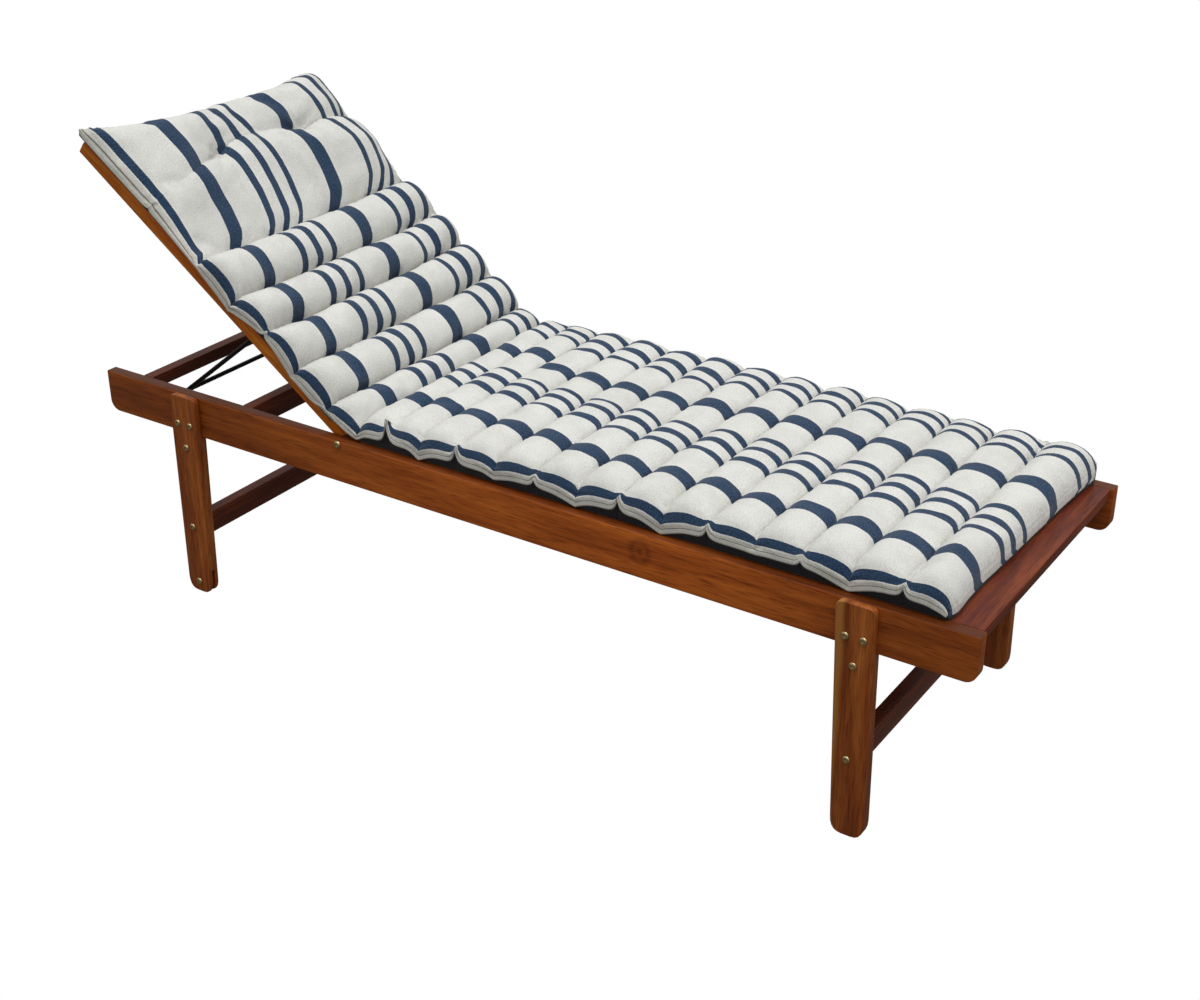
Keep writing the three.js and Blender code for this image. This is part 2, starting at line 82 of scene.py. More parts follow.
# One row for each channel from the foot end, then the two lobes of the head pillow.
# pitch: seam to seam. crown: top of the filling. seam: the sewn line at its head side.
# near, far: the rolled edge there. peak: where along the channel its top is.
SECTIONS = np.array([
    (96, 66, 36, 38, 46, 0.50),
    (92, 66, 36, 1, 30, 0.50),
    (86, 66, 36, 31, 40, 0.50),
    (87, 66, 36, 18, 28, 0.50),
    (86, 66, 37, 38, 40, 0.50),
    (87, 67, 37, 1, 28, 0.50),
    (86, 67, 38, 44, 44, 0.50),
    (87, 67, 38, 5, 30, 0.50),
    (86, 67, 38, 33, 40, 0.50),
    (86, 66, 38, 10, 30, 0.50),
    (85, 66, 38, 47, 44, 0.50),
    (84, 64, 38, 2, 30, 0.50),
    (74, 60, 38, 62, 42, 0.50),
    (74, 58, 12, 1, 8, 0.50),
    (82, 50, 8, -12, 4, 0.50),
    (93, 56, 7, -8, 14, 0.50),
    (92, 57, 7, 19, 2, 0.50),
    (88, 57, 8, -13, 16, 0.50),
    (102, 58, 8, 2, 6, 0.50),
    (174, 78, 34, 14, 16, 0.60),
    (134, 76, 12, 18, 16, 0.45),
], dtype=[(name, float) for name in ("pitch", "crown", "seam", "near", "far", "peak")])
FOOT_SEAM, FOOT_NEAR, FOOT_FAR, FOOT_SKEW, FOOT_DRAWN = 12, 9, 24, 20, 11
FOOT_CORNER = {"back": 13, "run": 30}
LOBE = len(SECTIONS) - 2
HEAD_CORNER_REACH = {"near": 45, "far": 16, "near_run": 250, "far_run": 200}
# How far the far edge runs out beyond its line, by distance from the foot end, and how wide a strip moves
FAR_FLARE = np.array([(0, 4), (1245, 6), (1640, 14), (1970, 16)])
FLARE_STRIP = 28

# The tufted line of the head pillow: place across, shift towards the head end, height
TUFTED_LINE = np.array([
    (16, -30, 70), (60, -26, 74), (100, -20, 76), (133, -12, 73), (165, 0, 66), (205, 12, 52), (231, 19, 38),
    (250, 24, 52), (270, 28, 62), (302, 31, 68), (358, 27, 69), (402, 21, 66), (440, 16, 56), (470, 12, 38),
    (490, 12, 52), (520, 12, 63), (546, 10, 66), (575, 6, 62), (606, 0, 30),
])
# The head pillow by place across: its crown, over what length it rises from the seat side, and what share
# of its height it has gained at once
PILLOW = np.array([
    (16, 76, 170, 0.15),
    (133, 86, 170, 0.15),
    (231, 78, 170, 0.15),
    (320, 74, 160, 0.18),
    (402, 78, 140, 0.25),
    (600, 80, 90, 0.5),
])
# The pillow's ends: over what length its top evens out, how long the first quick rise is and how the even
# slope after it bends, and over what length the head end comes down
PILLOW_END_RUN = 60
PILLOW_FOOT, PILLOW_SLOPE = 34, 1.15
PILLOW_HEAD_RUN = 46
LOBE_CREASE = {"seat": 13, "head": 20}

# How the cover is rounded over its edges, and the roll that joins its two panels
ROUND = {"near": 44, "far": 32, "seam": 28, "under": 3.4}
LOBE_ROUND = {"near": 170, "far": 50, "seam": 90}
# Where the straight of the seat ends and the straight of the back begins, by distance from the foot end
SEAT_RUN = CUSHION_FOOT - CREASE_X - BEND_RADIUS * math.tan(BACK_ANGLE / 2)
BACK_START = SEAT_RUN + BEND_RADIUS * BACK_ANGLE
# Between the stiles the back's slats lie lower, and the cushion sinks to them over a run along the back.
# For each panel: how far from the edge this starts, and over what width it grows
BACK_SINK, SINK_RUN = 14, 60
STILE_CLEAR = {"top": (8, 110), "under": (58, 32)}
# Past the stile's outer face the edge may droop, but it clears the stile's upper corner
STILE_FACE, CORNER_CLEAR, CORNER_WIDTH, EDGE_DROOP = 29, 2.2, 2, 36
# Half the thickness of a sewn line and of the neck at the roll, and the gap to the slats
ROLL_HALF = 2.5
NECK_HALF = 0.7
UNDER_GAP = 0.35
PINCH_RISE, PINCH_REACH = 10, 18
# The height of the rolled edge between its seams: at the foot end, at the crease and on the back
EDGE_LEVEL = {"near": (12, 10, 1), "far": (34, 32, 12)}
CREASE_DISTANCE, LEVEL_RUN = 1150, 150
EDGE_LIFT = 10
SEAM_RUN = 3.6
# The roll's three points: how far out and how high they lie, and the lowest place on the seat and the back
BEAD_OUT, BEAD_RISE = (0.4, 4.2, 0.4), (3.3, 0.0, -3.3)
LOWEST_BEAD = {"seat": 3.0, "back": -30}
CHANNEL_STEPS = np.array([0, 0.03, 0.12, 0.29, 0.5, 0.71, 0.88, 0.97])
LOBE_STEPS = np.array([0, 0.02, 0.055, 0.11, 0.18, 0.26, 0.35, 0.44,
                       0.53, 0.62, 0.71, 0.79, 0.86, 0.92, 0.96, 0.985])
EDGE_INSETS = np.array([1.2, 2.4, 3.2, 4.2, 5.6, 9.5, 15, 22, 31, 42, 53, 64])
MIDDLE_STEP = 12.5


def mix(a, b, t):
    """A value a share t of the way from a to b."""
    return a + (b - a) * t


def rows_of_cover():
    """The rows along the cushion: the number of each row's section and its share t within it."""
    counts = [len(CHANNEL_STEPS)] * LOBE + [len(LOBE_STEPS)] * 2
    section = np.repeat(np.arange(len(SECTIONS)), counts)
    t = np.concatenate([CHANNEL_STEPS] * LOBE + [LOBE_STEPS] * 2)
    return np.append(section, len(SECTIONS) - 1), np.append(t, 1.0)


def base_line(distance):
    """The line that the slats give: straight along the seat, an arc at the crease, straight up the back.
    Returns x, z and the slope at a distance from the foot end."""
    angle = np.clip((distance - SEAT_RUN) / BEND_RADIUS, 0, BACK_ANGLE)
    along_seat = np.minimum(distance, SEAT_RUN)
    along_back = np.maximum(distance - BACK_START, 0)
    x = CUSHION_FOOT - along_seat - BEND_RADIUS * np.sin(angle) - along_back * math.cos(BACK_ANGLE)
    z = SEAT_TOP + BEND_RADIUS * (1 - np.cos(angle)) + along_back * math.sin(BACK_ANGLE)
    return x, z, angle


def edge_height(before, after, t, pitch, level):
    """The rolled edge along a channel: nearly straight between its ends, but an end that a seam pinches up
    rises only in the last few millimetres, as a decaying power."""
    body = mix(level, np.minimum(mix(before, after, t), level + EDGE_LIFT), 0.8)
    at_start = np.exp(-t * pitch / SEAM_RUN)
    at_end = np.exp(-(1 - t) * pitch / SEAM_RUN)
    return body + (before - body) * at_start + (after - body) * at_end * (1 - at_start)


section, t_row = rows_of_cover()
table = SECTIONS[section]
previous = {
    "seam": np.concatenate([[FOOT_SEAM], SECTIONS["seam"][:-1]])[section],
    "near": np.concatenate([[FOOT_NEAR], SECTIONS["near"][:-1]])[section],
    "far": np.concatenate([[FOOT_FAR], SECTIONS["far"][:-1]])[section],
}
section_start = (np.cumsum(SECTIONS["pitch"]) - SECTIONS["pitch"])[section]
row_distance = section_start + t_row * table["pitch"]
seam_gap = np.minimum(t_row, 1 - t_row) * table["pitch"]

even = t_row ** (math.log(0.5) / np.log(table["peak"]))
row_rise = np.sqrt(np.clip(1 - (2 * even - 1) ** 2, 0, 1))
pillow_start, pillow_end = SECTIONS["pitch"][:LOBE].sum(), SECTIONS["pitch"].sum()
to_end = np.minimum(row_distance - pillow_start, pillow_end - row_distance)
from_ends = np.clip(to_end / PILLOW_END_RUN, 0, 1)
row_rise = np.where(section >= LOBE, np.sqrt(1 - (1 - from_ends) ** 2), row_rise)
on_back = np.clip((row_distance - CREASE_DISTANCE) / LEVEL_RUN, 0, 1)
lip = {}
for edge, (foot_level, crease_level, back_level) in EDGE_LEVEL.items():
    seat_level = mix(foot_level, crease_level, np.minimum(1, row_distance / CREASE_DISTANCE))
    level = mix(seat_level, back_level, on_back)
    lip[edge] = edge_height(previous[edge], table[edge], t_row, table["pitch"], level)

middle_width = WIDTH - 2 * EDGE_INSETS[-1]
middle = EDGE_INSETS[-1] + np.linspace(0, middle_width, int(middle_width / MIDDLE_STEP) + 2)
insets = np.concatenate([EDGE_INSETS, middle[1:-1], WIDTH - EDGE_INSETS[::-1]])
COLUMNS = len(insets)


def pillow_heights():
    """Heights of the head pillow. From the seat side it rises as a small quarter ellipse and then almost
    evenly, and from the head end as a quarter of an ellipse. The tufted line pulls a crease into it, which
    dies away on both sides as a decaying power."""
    line = pillow_start + SECTIONS["pitch"][LOBE]
    y = CUSHION_NEAR + insets
    crown, seat_run, first_share = (np.interp(y, PILLOW[:, 0], PILLOW[:, i]) for i in (1, 2, 3))
    from_seat = np.clip((row_distance[:, None] - pillow_start) / seat_run, 0, 1)
    from_head = np.clip((pillow_end - row_distance) / PILLOW_HEAD_RUN, 0, 1)[:, None]
    first_rise = np.sqrt(1 - (1 - np.minimum(1, from_seat * seat_run / PILLOW_FOOT)) ** 2)
    outer = mix(from_seat ** PILLOW_SLOPE, first_rise, first_share) * np.sqrt(1 - (1 - from_head) ** 2)
    offset = row_distance[:, None] - line
    low = np.where(offset < 0, SECTIONS["seam"][LOBE - 1], SECTIONS["seam"][LOBE + 1]) + ROLL_HALF
    fade = np.where(offset < 0, np.exp(offset / LOBE_CREASE["seat"]), np.exp(-offset / LOBE_CREASE["head"]))
    sewn = np.interp(y, *TUFTED_LINE[:, [0, 2]].T)
    return mix(low, crown, outer) - (crown - sewn) * fade


def sink(panel):
    """How far a panel sinks behind the stiles: nothing on the seat or over the stiles, easing in as a half
    cosine along the back and away from either edge, on the top over a wider strip."""
    along_part = np.clip((row_distance - BACK_START) / SINK_RUN, 0, 1)
    start, run = STILE_CLEAR[panel]
    across_part = np.clip((np.minimum(insets, WIDTH - insets) - start) / run, 0, 1)
    along_ease = 0.5 - 0.5 * np.cos(math.pi * along_part)
    across_ease = 0.5 - 0.5 * np.cos(math.pi * across_part)
    return BACK_SINK * np.outer(along_ease, across_ease)


def cover_heights(panel):
    """Heights of one panel over rows and columns. Each channel rises from seam to crown as half an ellipse.
    At the edge the cover comes down to the rolled edge as a quarter of an ellipse, and where a seam pinches
    the rolled edge upwards the seam's end rises with it. The underside is tucked in below the rolled edge."""
    seam = mix(previous["seam"], table["seam"], t_row)[:, None]
    rise = row_rise[:, None]
    lobes = (section >= LOBE)[:, None]
    if panel == "top":
        face = seam + ROLL_HALF + (table["crown"][:, None] - seam - ROLL_HALF) * rise
        face = np.where(lobes, pillow_heights() - (BACK_SINK - sink("top")) * rise, face)
    else:
        face = np.full((len(t_row), COLUMNS), UNDER_GAP)
    heights = face.copy()
    for edge, inset in (("near", insets), ("far", WIDTH - insets)):
        full = np.full_like(rise, ROUND["under"])
        if panel == "top":
            full = mix(ROUND["seam"], ROUND[edge], rise)
            full = np.where(lobes, mix(LOBE_ROUND["seam"], LOBE_ROUND[edge], rise), full)
        share = np.minimum(1, inset / full)
        if panel == "top":
            pinched = np.maximum(0, lip[edge][:, None] + PINCH_RISE - face) * np.exp(-inset / PINCH_REACH)
            heights = np.where(lobes, heights, heights + pinched)
            edge_rise, base = np.sqrt(1 - (1 - share) ** 2), lip[edge][:, None] + NECK_HALF
        else:
            edge_rise, base = 1 - np.sqrt(1 - share ** 2), lip[edge][:, None] - NECK_HALF
        heights = np.where(share < 1, mix(base, heights, edge_rise), heights)
    return heights - sink(panel)


def along_shift():
    """How far each point lies past its row's own place: the foot end is askew and drawn in between its
    corners, the tufted line wanders, and the head end runs out to its two corners."""
    y = CUSHION_NEAR + insets
    shift = np.zeros((len(t_row), COLUMNS))
    first = section == 0
    drawn = FOOT_DRAWN * (1 - (2 * insets / WIDTH - 1) ** 6)
    from_corner = np.minimum(insets, WIDTH - insets)
    rounded = FOOT_CORNER["back"] * np.clip(1 - from_corner / FOOT_CORNER["run"], 0, 1) ** 2
    shift[first] = (FOOT_SKEW * (0.5 - insets / WIDTH) + drawn + rounded) * (1 - t_row[first, None])
    wander = np.interp(y, *TUFTED_LINE[:, [0, 1]].T)
    low, high = section == LOBE, section == LOBE + 1
    shift[low] = wander * t_row[low, None]
    near_part = np.clip(1 - insets / HEAD_CORNER_REACH["near_run"], 0, 1) ** 2
    far_part = np.clip(1 - (WIDTH - insets) / HEAD_CORNER_REACH["far_run"], 0, 1) ** 2
    reach = HEAD_CORNER_REACH["near"] * near_part + HEAD_CORNER_REACH["far"] * far_part
    shift[high] = wander * (1 - t_row[high, None]) + reach * t_row[high, None]
    return shift


def lay_on_slats(distance, y, height):
    """Points of the cushion in metres: a height above the slats at a distance along and a place across."""
    x0, z0, angle = base_line(distance)
    x = x0 + height * np.sin(angle)
    z = np.maximum(z0 + height * np.cos(angle), SEAT_TOP + 0.5)
    return np.stack(np.broadcast_arrays(x + HEAD_X, y + NEAR_Y, z), axis=-1) * MM


def clear_of_frame(distance, heights):
    """The underside stays on the slats, and past the stiles' outer faces it may droop."""
    on_slope = base_line(distance)[2] >= BACK_ANGLE - 1e-6
    stile_face = STILE_FACE - CUSHION_NEAR
    edge = np.minimum(insets, WIDTH - insets + 1)
    low = np.where(on_slope & (edge < stile_face - CORNER_WIDTH), -EDGE_DROOP, UNDER_GAP) - sink("under")
    low = np.where(on_slope & (np.abs(edge - stile_face) <= CORNER_WIDTH), CORNER_CLEAR, low)
    return np.maximum(heights, low)


shift = along_shift()
distance = row_distance[:, None] + shift
flare = np.interp(row_distance, *FAR_FLARE.T)
strip_share = np.maximum(0, 1 - (WIDTH - insets) / FLARE_STRIP)
places = CUSHION_NEAR + insets + flare[:, None] * strip_share
top = lay_on_slats(distance, places, cover_heights("top"))
under = lay_on_slats(distance, places, clear_of_frame(distance, cover_heights("under")))
# Between two slats of the seat the underside sags by a few millimetres, from a little inside the edge on
SLAT_FIRST, SLAT_PITCH, SLAT_WIDTH, SLAT_SAG = 660, 112, 62, 3.5
SAG_START, SAG_RUN = 5.5, 4
place_in_pitch = np.mod(base_line(distance)[0] - SLAT_FIRST, SLAT_PITCH)
in_gap = np.clip((place_in_pitch - SLAT_WIDTH) / (SLAT_PITCH - SLAT_WIDTH), 0, 1)
past_edge = np.clip((np.minimum(insets, WIDTH - insets) - SAG_START) / SAG_RUN, 0, 1)
on_seat = base_line(distance)[2] == 0
sagging = np.where(on_seat, np.minimum(1, 3 * np.sin(math.pi * in_gap)), 0)
under[..., 2] -= sagging * past_edge * SLAT_SAG * MM


def roll_points(edge):
    """The rolled edge: three points of a small bead just outside the panels' joined edges."""
    column = 0 if edge == "near" else COLUMNS - 1
    outward = -1 if edge == "near" else 1
    y0 = places[:, column, None]
    lowest = np.where(on_back < 1, LOWEST_BEAD["seat"], LOWEST_BEAD["back"])
    height = np.maximum(lip[edge], lowest)[:, None] + np.array(BEAD_RISE)
    return lay_on_slats(distance[:, column, None], y0 + np.array(BEAD_OUT) * outward, height)


ring = np.concatenate([top, roll_points("far"), under[:, ::-1], roll_points("near")[:, ::-1]], axis=1)
ROWS, RING = ring.shape[:2]


# Where the middles of four stripes lie along the crests, in millimetres across: distance is from the foot
# end, and the stripes are the wide one near the edge, the middle thin one, the far wide one and the second
# thin one beyond it
CLOTH_MARKS = (137.5, 278.5, 418.5, 565.5)
STRIPE_LINES = np.array([
    (48, 121, 257, 423, 575),
    (142, 114, 265, 420, 556),
    (231, 121, 275, 425, 567),
    (317, 127, 282, 427, 574),
    (404, 114, 262, 418, 563),
    (490, 115, 271, 418, 558),
    (577, 114, 262, 413, 554),
    (663, 108, 252, 399, 543),
    (750, 110, 261, 386, 519),
    (836, 119, 273, 381, 525),
    (921, 124, 268, 385, 530),
    (1006, 130, 276, 388, 534),
    (1085, 141, 293, 440, 571),
    (1159, 140, 286, 430, 570),
    (1237, 116, 262, 417, 566),
    (1324, 114, 263, 410, 551),
    (1417, 115, 264, 413, 547),
    (1507, 113, 260, 406, 536),
    (1602, 116, 265, 408, 549),
    (1679, 136, 286, 432, 570),
    (1723, 141, 296, 440, 580),
    (1766, 139, 300, 440, 580),
    (1801, 138, 296, 431, 570),
    (1867, 140, 290, 426, 571),
    (1907, 136, 281, 418, 564),
])


# Where a seam pinches the near edge up, its hem folds: how far it is drawn in, from which height of the
# edge on and over what height this grows, and over what lengths along and across it dies away
HEM_FOLD = {"drawn": 17, "from": 14, "growth": 8, "along": 5, "across": 30}
# How far from a seam the stripes are offset, and how wide the strip at either edge is where they aren't
SEAM_EASE = 2.5
EVEN_STRIP = 30
# The heights over which the cloth comes down at the edges, and how far its underside is tucked in
CREST_RISE = {"near": 50, "far": 42}
HEM_TUCK = 20
# On the pillow the cloth lies flatter: from which distance and over what run, how much cloth has been
# taken up at a place near the edge, and how much less there is in all
FLATTER = {"from": 1640, "run": 30, "place": 60, "cloth": 71, "less": 16}


def stripe_rows():
    """The stripes' places by distance: a channel keeps those of its crest from a little after one seam to a
    little before the next, so that the stripes are offset at the seams."""
    ends = np.cumsum(SECTIONS["pitch"])[:LOBE]
    first, last = STRIPE_LINES[:LOBE].copy(), STRIPE_LINES[:LOBE].copy()
    first[:, 0] = ends - SECTIONS["pitch"][:LOBE] + SEAM_EASE
    last[:, 0] = ends - SEAM_EASE
    return np.concatenate([np.stack([first, last], axis=1).reshape(-1, 5), STRIPE_LINES[LOBE:]])


def cloth_place():
    """Each ring point's place on the cloth in metres: how far it is across the panel from the near rolled
    edge, and how far along from the foot end. Across, the marked stripes give four places in every row, the
    rolled edges two more, and between these the cloth lies evenly, but for the extra length over its
    rounded edges. The folds of the hem draw it in by a share that dies away as a decaying power."""
    fine = np.linspace(0, WIDTH, 2400)
    near_share, far_share = np.minimum(1, fine / ROUND["near"]), np.minimum(1, (WIDTH - fine) / ROUND["far"])
    height = (CREST_RISE["near"] * np.sqrt(1 - (1 - near_share) ** 2)
              + CREST_RISE["far"] * np.sqrt(1 - (1 - far_share) ** 2))
    length = np.concatenate([[0], np.cumsum(np.hypot(np.diff(fine), np.diff(height)))])
    rounded = np.interp(insets, fine, length)
    lobe_share = np.clip((row_distance - FLATTER["from"]) / FLATTER["run"], 0, 1)[:, None]
    flatter = np.interp(insets, [0, FLATTER["place"], WIDTH],
                        [0, FLATTER["cloth"], length[-1] - FLATTER["less"]])
    across = mix(rounded, flatter, lobe_share)
    drift = np.empty((ROWS, COLUMNS))
    rows = stripe_rows()
    for number, row_place in enumerate(row_distance):
        lines = [np.interp(row_place, rows[:, 0], rows[:, mark]) for mark in (1, 2, 3, 4)]
        at = np.array(lines) - CUSHION_NEAR
        own = np.interp(at, insets, across[number])
        drift[number] = np.interp(insets, [0, EVEN_STRIP, *at, WIDTH], [0, 0, *(CLOTH_MARKS - own), 0])
    across = across + drift
    pinched = np.clip((lip["near"] - HEM_FOLD["from"]) / HEM_FOLD["growth"], 0, 1)
    pinched = np.where(section < LOBE, pinched * np.exp(-seam_gap / HEM_FOLD["along"]), 0)
    fold = HEM_FOLD["drawn"] * np.outer(pinched, np.exp(-insets / HEM_FOLD["across"]))
    across = np.maximum(across - fold, 0)
    tuck = HEM_TUCK * np.sin(np.minimum(1, np.minimum(insets, WIDTH - insets) / ROUND["under"]) * math.pi / 2)
    below = np.where(insets < WIDTH / 2, insets + tuck, length[-1] - (WIDTH - insets) - tuck)
    far_edge, near_edge = np.repeat(across[:, -1:], 3, 1), np.zeros((ROWS, 3))
    ring_across = np.concatenate([across, far_edge, np.tile(below[::-1], (ROWS, 1)), near_edge], axis=1)
    return ring_across * MM, np.broadcast_to(row_distance[:, None], (ROWS, RING)) * MM


def closed_ring_faces():
    """Quads between neighbouring rows of the ring, and a strip of quads that closes each end."""
    index = np.arange(ROWS * RING).reshape(ROWS, RING)
    nearer, along = index[:-1], index[1:]
    sides = np.stack([nearer, np.roll(nearer, -1, 1), np.roll(along, -1, 1), along], axis=-1).reshape(-1, 4)
    a = np.arange(COLUMNS - 1)
    b = 2 * COLUMNS + 2 - a
    ends = []
    for row, flip in ((index[0], False), (index[-1], True)):
        strip = np.stack([row[a + 1], row[a], row[b], row[b - 1]], axis=-1)
        ends.append(strip[:, ::-1] if flip else strip)
        far_bead = [row[COLUMNS - 1], row[COLUMNS + 3], row[COLUMNS + 2], row[COLUMNS + 1], row[COLUMNS]]
        near_bead = [row[0], row[RING - 1], row[RING - 2], row[RING - 3], row[RING - 4]]
        for bead in (far_bead, near_bead):
            ends.append([bead[::-1] if flip else bead])
    faces = [list(map(int, face)) for face in sides]
    for group in ends:
        faces += [list(map(int, face)) for face in group]
    return faces


def add_mesh(name, points, faces, smooth=True):
    """A new object at the origin with these points and faces."""
    mesh = bpy.data.meshes.new(name)
    mesh.from_pydata(np.asarray(points).reshape(-1, 3).tolist(), [], faces)
    mesh.polygons.foreach_set("use_smooth", np.full(len(mesh.polygons), smooth))
    mesh.update()
    piece = bpy.data.objects.new(name, mesh)
    bpy.context.scene.collection.objects.link(piece)
    return piece


def store(mesh, name, values):
    """Keeps one number for each point of a mesh under a name."""
    mesh.attributes.new(name, "FLOAT", "POINT").data.foreach_set("value", np.ravel(values).astype(np.float32))


def read_points(mesh):
    """The points of a mesh as an array."""
    points = np.empty(len(mesh.vertices) * 3, dtype=np.float32)
    mesh.vertices.foreach_get("co", points)
    return points.reshape(-1, 3).astype(float)


def sharpen_seams(mesh):
    """Marks the edges that run along each sewn line of the top panel, so that smoothing keeps them sharp."""
    ends = np.empty(len(mesh.edges) * 2, dtype=np.int32)
    mesh.edges.foreach_get("vertices", ends)
    row, column = np.divmod(ends.reshape(-1, 2), RING)
    in_panel = ((column < COLUMNS + 3) | (column >= RING - 3)).all(1)
    sewn = np.isin(row, np.flatnonzero(t_row == 0)).all(1) & (row[:, 0] == row[:, 1]) & in_panel
    mesh.attributes.new("crease_edge", "FLOAT", "EDGE").data.foreach_set("value", sewn.astype(np.float32))


shell = add_mesh("cushion_shell", ring, closed_ring_faces())
sharpen_seams(shell.data)
across, along = cloth_place()
store(shell.data, "across", across)
store(shell.data, "along", along)
store(shell.data, "edge_gap", np.minimum(across, across.max() - across))
store(shell.data, "seam_gap", np.broadcast_to(seam_gap[:, None], (ROWS, RING)) * MM)
for panel_name, columns in (("is_top", slice(0, COLUMNS)), ("is_under", slice(COLUMNS + 3, 2 * COLUMNS + 3))):
    in_panel = np.zeros((ROWS, RING))
    in_panel[:, columns] = 1
    store(shell.data, panel_name, in_panel)


def fill_with_pressure(piece, frames, cap):
    """Fills the cover: its seams, rolled edge and underside are held, and air pressure rounds the rest.
    No point moves further than cap metres."""
    held = np.ones((ROWS, RING))
    from_edge = np.minimum(insets, WIDTH - insets)
    free = np.outer(np.clip((seam_gap - 1) / 12, 0, 1), np.clip((from_edge - 4) / 12, 0, 1))
    held[:, :COLUMNS] = 1 - free
    group = piece.vertex_groups.new(name="held")
    for level in np.unique(np.round(held, 2)):
        members = np.flatnonzero(np.isclose(np.round(held, 2), level))
        group.add(members.tolist(), float(level), "REPLACE")
    cloth = piece.modifiers.new("fill", "CLOTH")
    cloth.settings.quality = 5
    cloth.settings.mass = 0.25
    cloth.settings.use_pressure = True
    cloth.settings.uniform_pressure_force = 3.5
    cloth.settings.shrink_min = -0.025
    cloth.settings.vertex_group_mass = "held"
    cloth.settings.effector_weights.gravity = 0
    cloth.collision_settings.use_collision = False
    for number in range(1, frames + 1):
        bpy.context.scene.frame_set(number)
    before = read_points(piece.data)
    evaluated = piece.evaluated_get(bpy.context.evaluated_depsgraph_get())
    moved = read_points(evaluated.data) - before
    reach = np.linalg.norm(moved, axis=1, keepdims=True)
    moved *= np.minimum(1, cap / np.maximum(reach, 1e-9))
    bpy.context.scene.frame_set(1)
    piece.modifiers.remove(cloth)
    piece.data.vertices.foreach_set("co", (before + moved).astype(np.float32).ravel())
    piece.data.update()


fill_with_pressure(shell, frames=16, cap=0.006)
subdivision = shell.modifiers.new("finer", "SUBSURF")
subdivision.levels = subdivision.render_levels = 1
cover_mesh = bpy.data.meshes.new_from_object(shell.evaluated_get(bpy.context.evaluated_depsgraph_get()))
cover_mesh.name = "cushion_cover"
bpy.data.objects.remove(shell)
cushion = bpy.data.objects.new("cushion_cover", cover_mesh)
bpy.context.scene.collection.objects.link(cushion)


def read_values(mesh, name):
    """One number for each point of a mesh, kept under a name."""
    values = np.empty(len(mesh.vertices), dtype=np.float32)
    mesh.attributes[name].data.foreach_get("value", values)
    return values.astype(float)


def waves(a, b, seed, count, shortest, longest):
    """A soft uneven field from -1 to 1: a sum of sine waves of mixed lengths and directions over two
    coordinates in metres."""
    numbers = np.random.default_rng(seed)
    lengths = numbers.uniform(shortest, longest, count)
    turns = numbers.uniform(0, math.tau, count)
    starts = numbers.uniform(0, math.tau, count)
    total = sum(np.sin(math.tau * (a * math.cos(r) + b * math.sin(r)) / l + s)
                for l, r, s in zip(lengths, turns, starts))
    return total / math.sqrt(count / 2) / 1.6


# The two tufts of the head pillow: across and along on the cloth, in metres
TUFTS = [(0.221, 1.827), (0.461, 1.827)]
# Height, reach and length of a fold, in metres, and for the tufts how many creases run out
PUCKER_HEIGHT, PUCKER_REACH, PUCKER_LENGTH = 0.0019, 0.010, 0.015
HEM_HEIGHT, HEM_REACH, HEM_LENGTH = 0.0014, 0.014, 0.013
SPOKE_HEIGHT, SPOKE_REACH, SPOKE_START, SPOKES = 0.0028, 0.038, 0.012, 7
LUMP_HEIGHT = 0.0013


def crumple(mesh):
    """Moves each point along its normal: short puckers beside the seams, small folds at the rolled edge, a
    faint unevenness of the filling all over, and creases that run out from the tufts like spokes."""
    points = read_points(mesh)
    normals = np.empty(len(mesh.vertices) * 3, dtype=np.float32)
    mesh.vertex_normals.foreach_get("vector", normals)
    a, b, gap = (read_values(mesh, name) for name in ("across", "along", "seam_gap"))
    top_share = read_values(mesh, "is_top")
    across_full = a.max()
    edge = np.minimum(a, across_full - a)
    pucker_phase = math.tau * a / PUCKER_LENGTH + 3 * waves(a, b, 4, 5, 0.05, 0.12)
    puckers = PUCKER_HEIGHT * np.exp(-gap / PUCKER_REACH) * np.sin(pucker_phase)
    fold_phase = math.tau * b / HEM_LENGTH + 3 * waves(a, b, 5, 5, 0.04, 0.1)
    folds = HEM_HEIGHT * np.exp(-edge / HEM_REACH) * np.sin(fold_phase)
    lumps = LUMP_HEIGHT * waves(a, b, 6, 14, 0.05, 0.2)
    push = (puckers + folds) * np.clip(gap / 0.002, 0, 1) * np.clip(edge / 0.004, 0, 1) + lumps
    for tuft_across, tuft_along in TUFTS:
        radius = np.hypot(a - tuft_across, b - tuft_along)
        turn = np.arctan2(b - tuft_along, a - tuft_across)
        strength = SPOKE_HEIGHT * np.exp(-radius / SPOKE_REACH) * np.minimum(1, radius / SPOKE_START)
        push += strength * np.sin(SPOKES * turn + 1)
    push *= top_share
    points += normals.reshape(-1, 3) * push[:, None]
    mesh.vertices.foreach_set("co", points.astype(np.float32).ravel())
    mesh.update()


crumple(cover_mesh)


def lay_out_cloth(mesh):
    """The cover's own map: across and along on the cloth, in metres."""
    corners = np.empty(len(mesh.loops), dtype=np.int32)
    mesh.loops.foreach_get("vertex_index", corners)
    place = np.stack([read_values(mesh, "across"), read_values(mesh, "along")], axis=-1)[corners]
    mesh.uv_layers.new(name="cloth").data.foreach_set("uv", place.astype(np.float32).ravel())


lay_out_cloth(cover_mesh)


def linear(code):
    """An sRGB hex colour as linear red, green, blue and a full alpha."""
    channels = [int(code[i:i + 2], 16) / 255 for i in (1, 3, 5)]
    return [c / 12.92 if c <= 0.04045 else ((c + 0.055) / 1.055) ** 2.4 for c in channels] + [1.0]


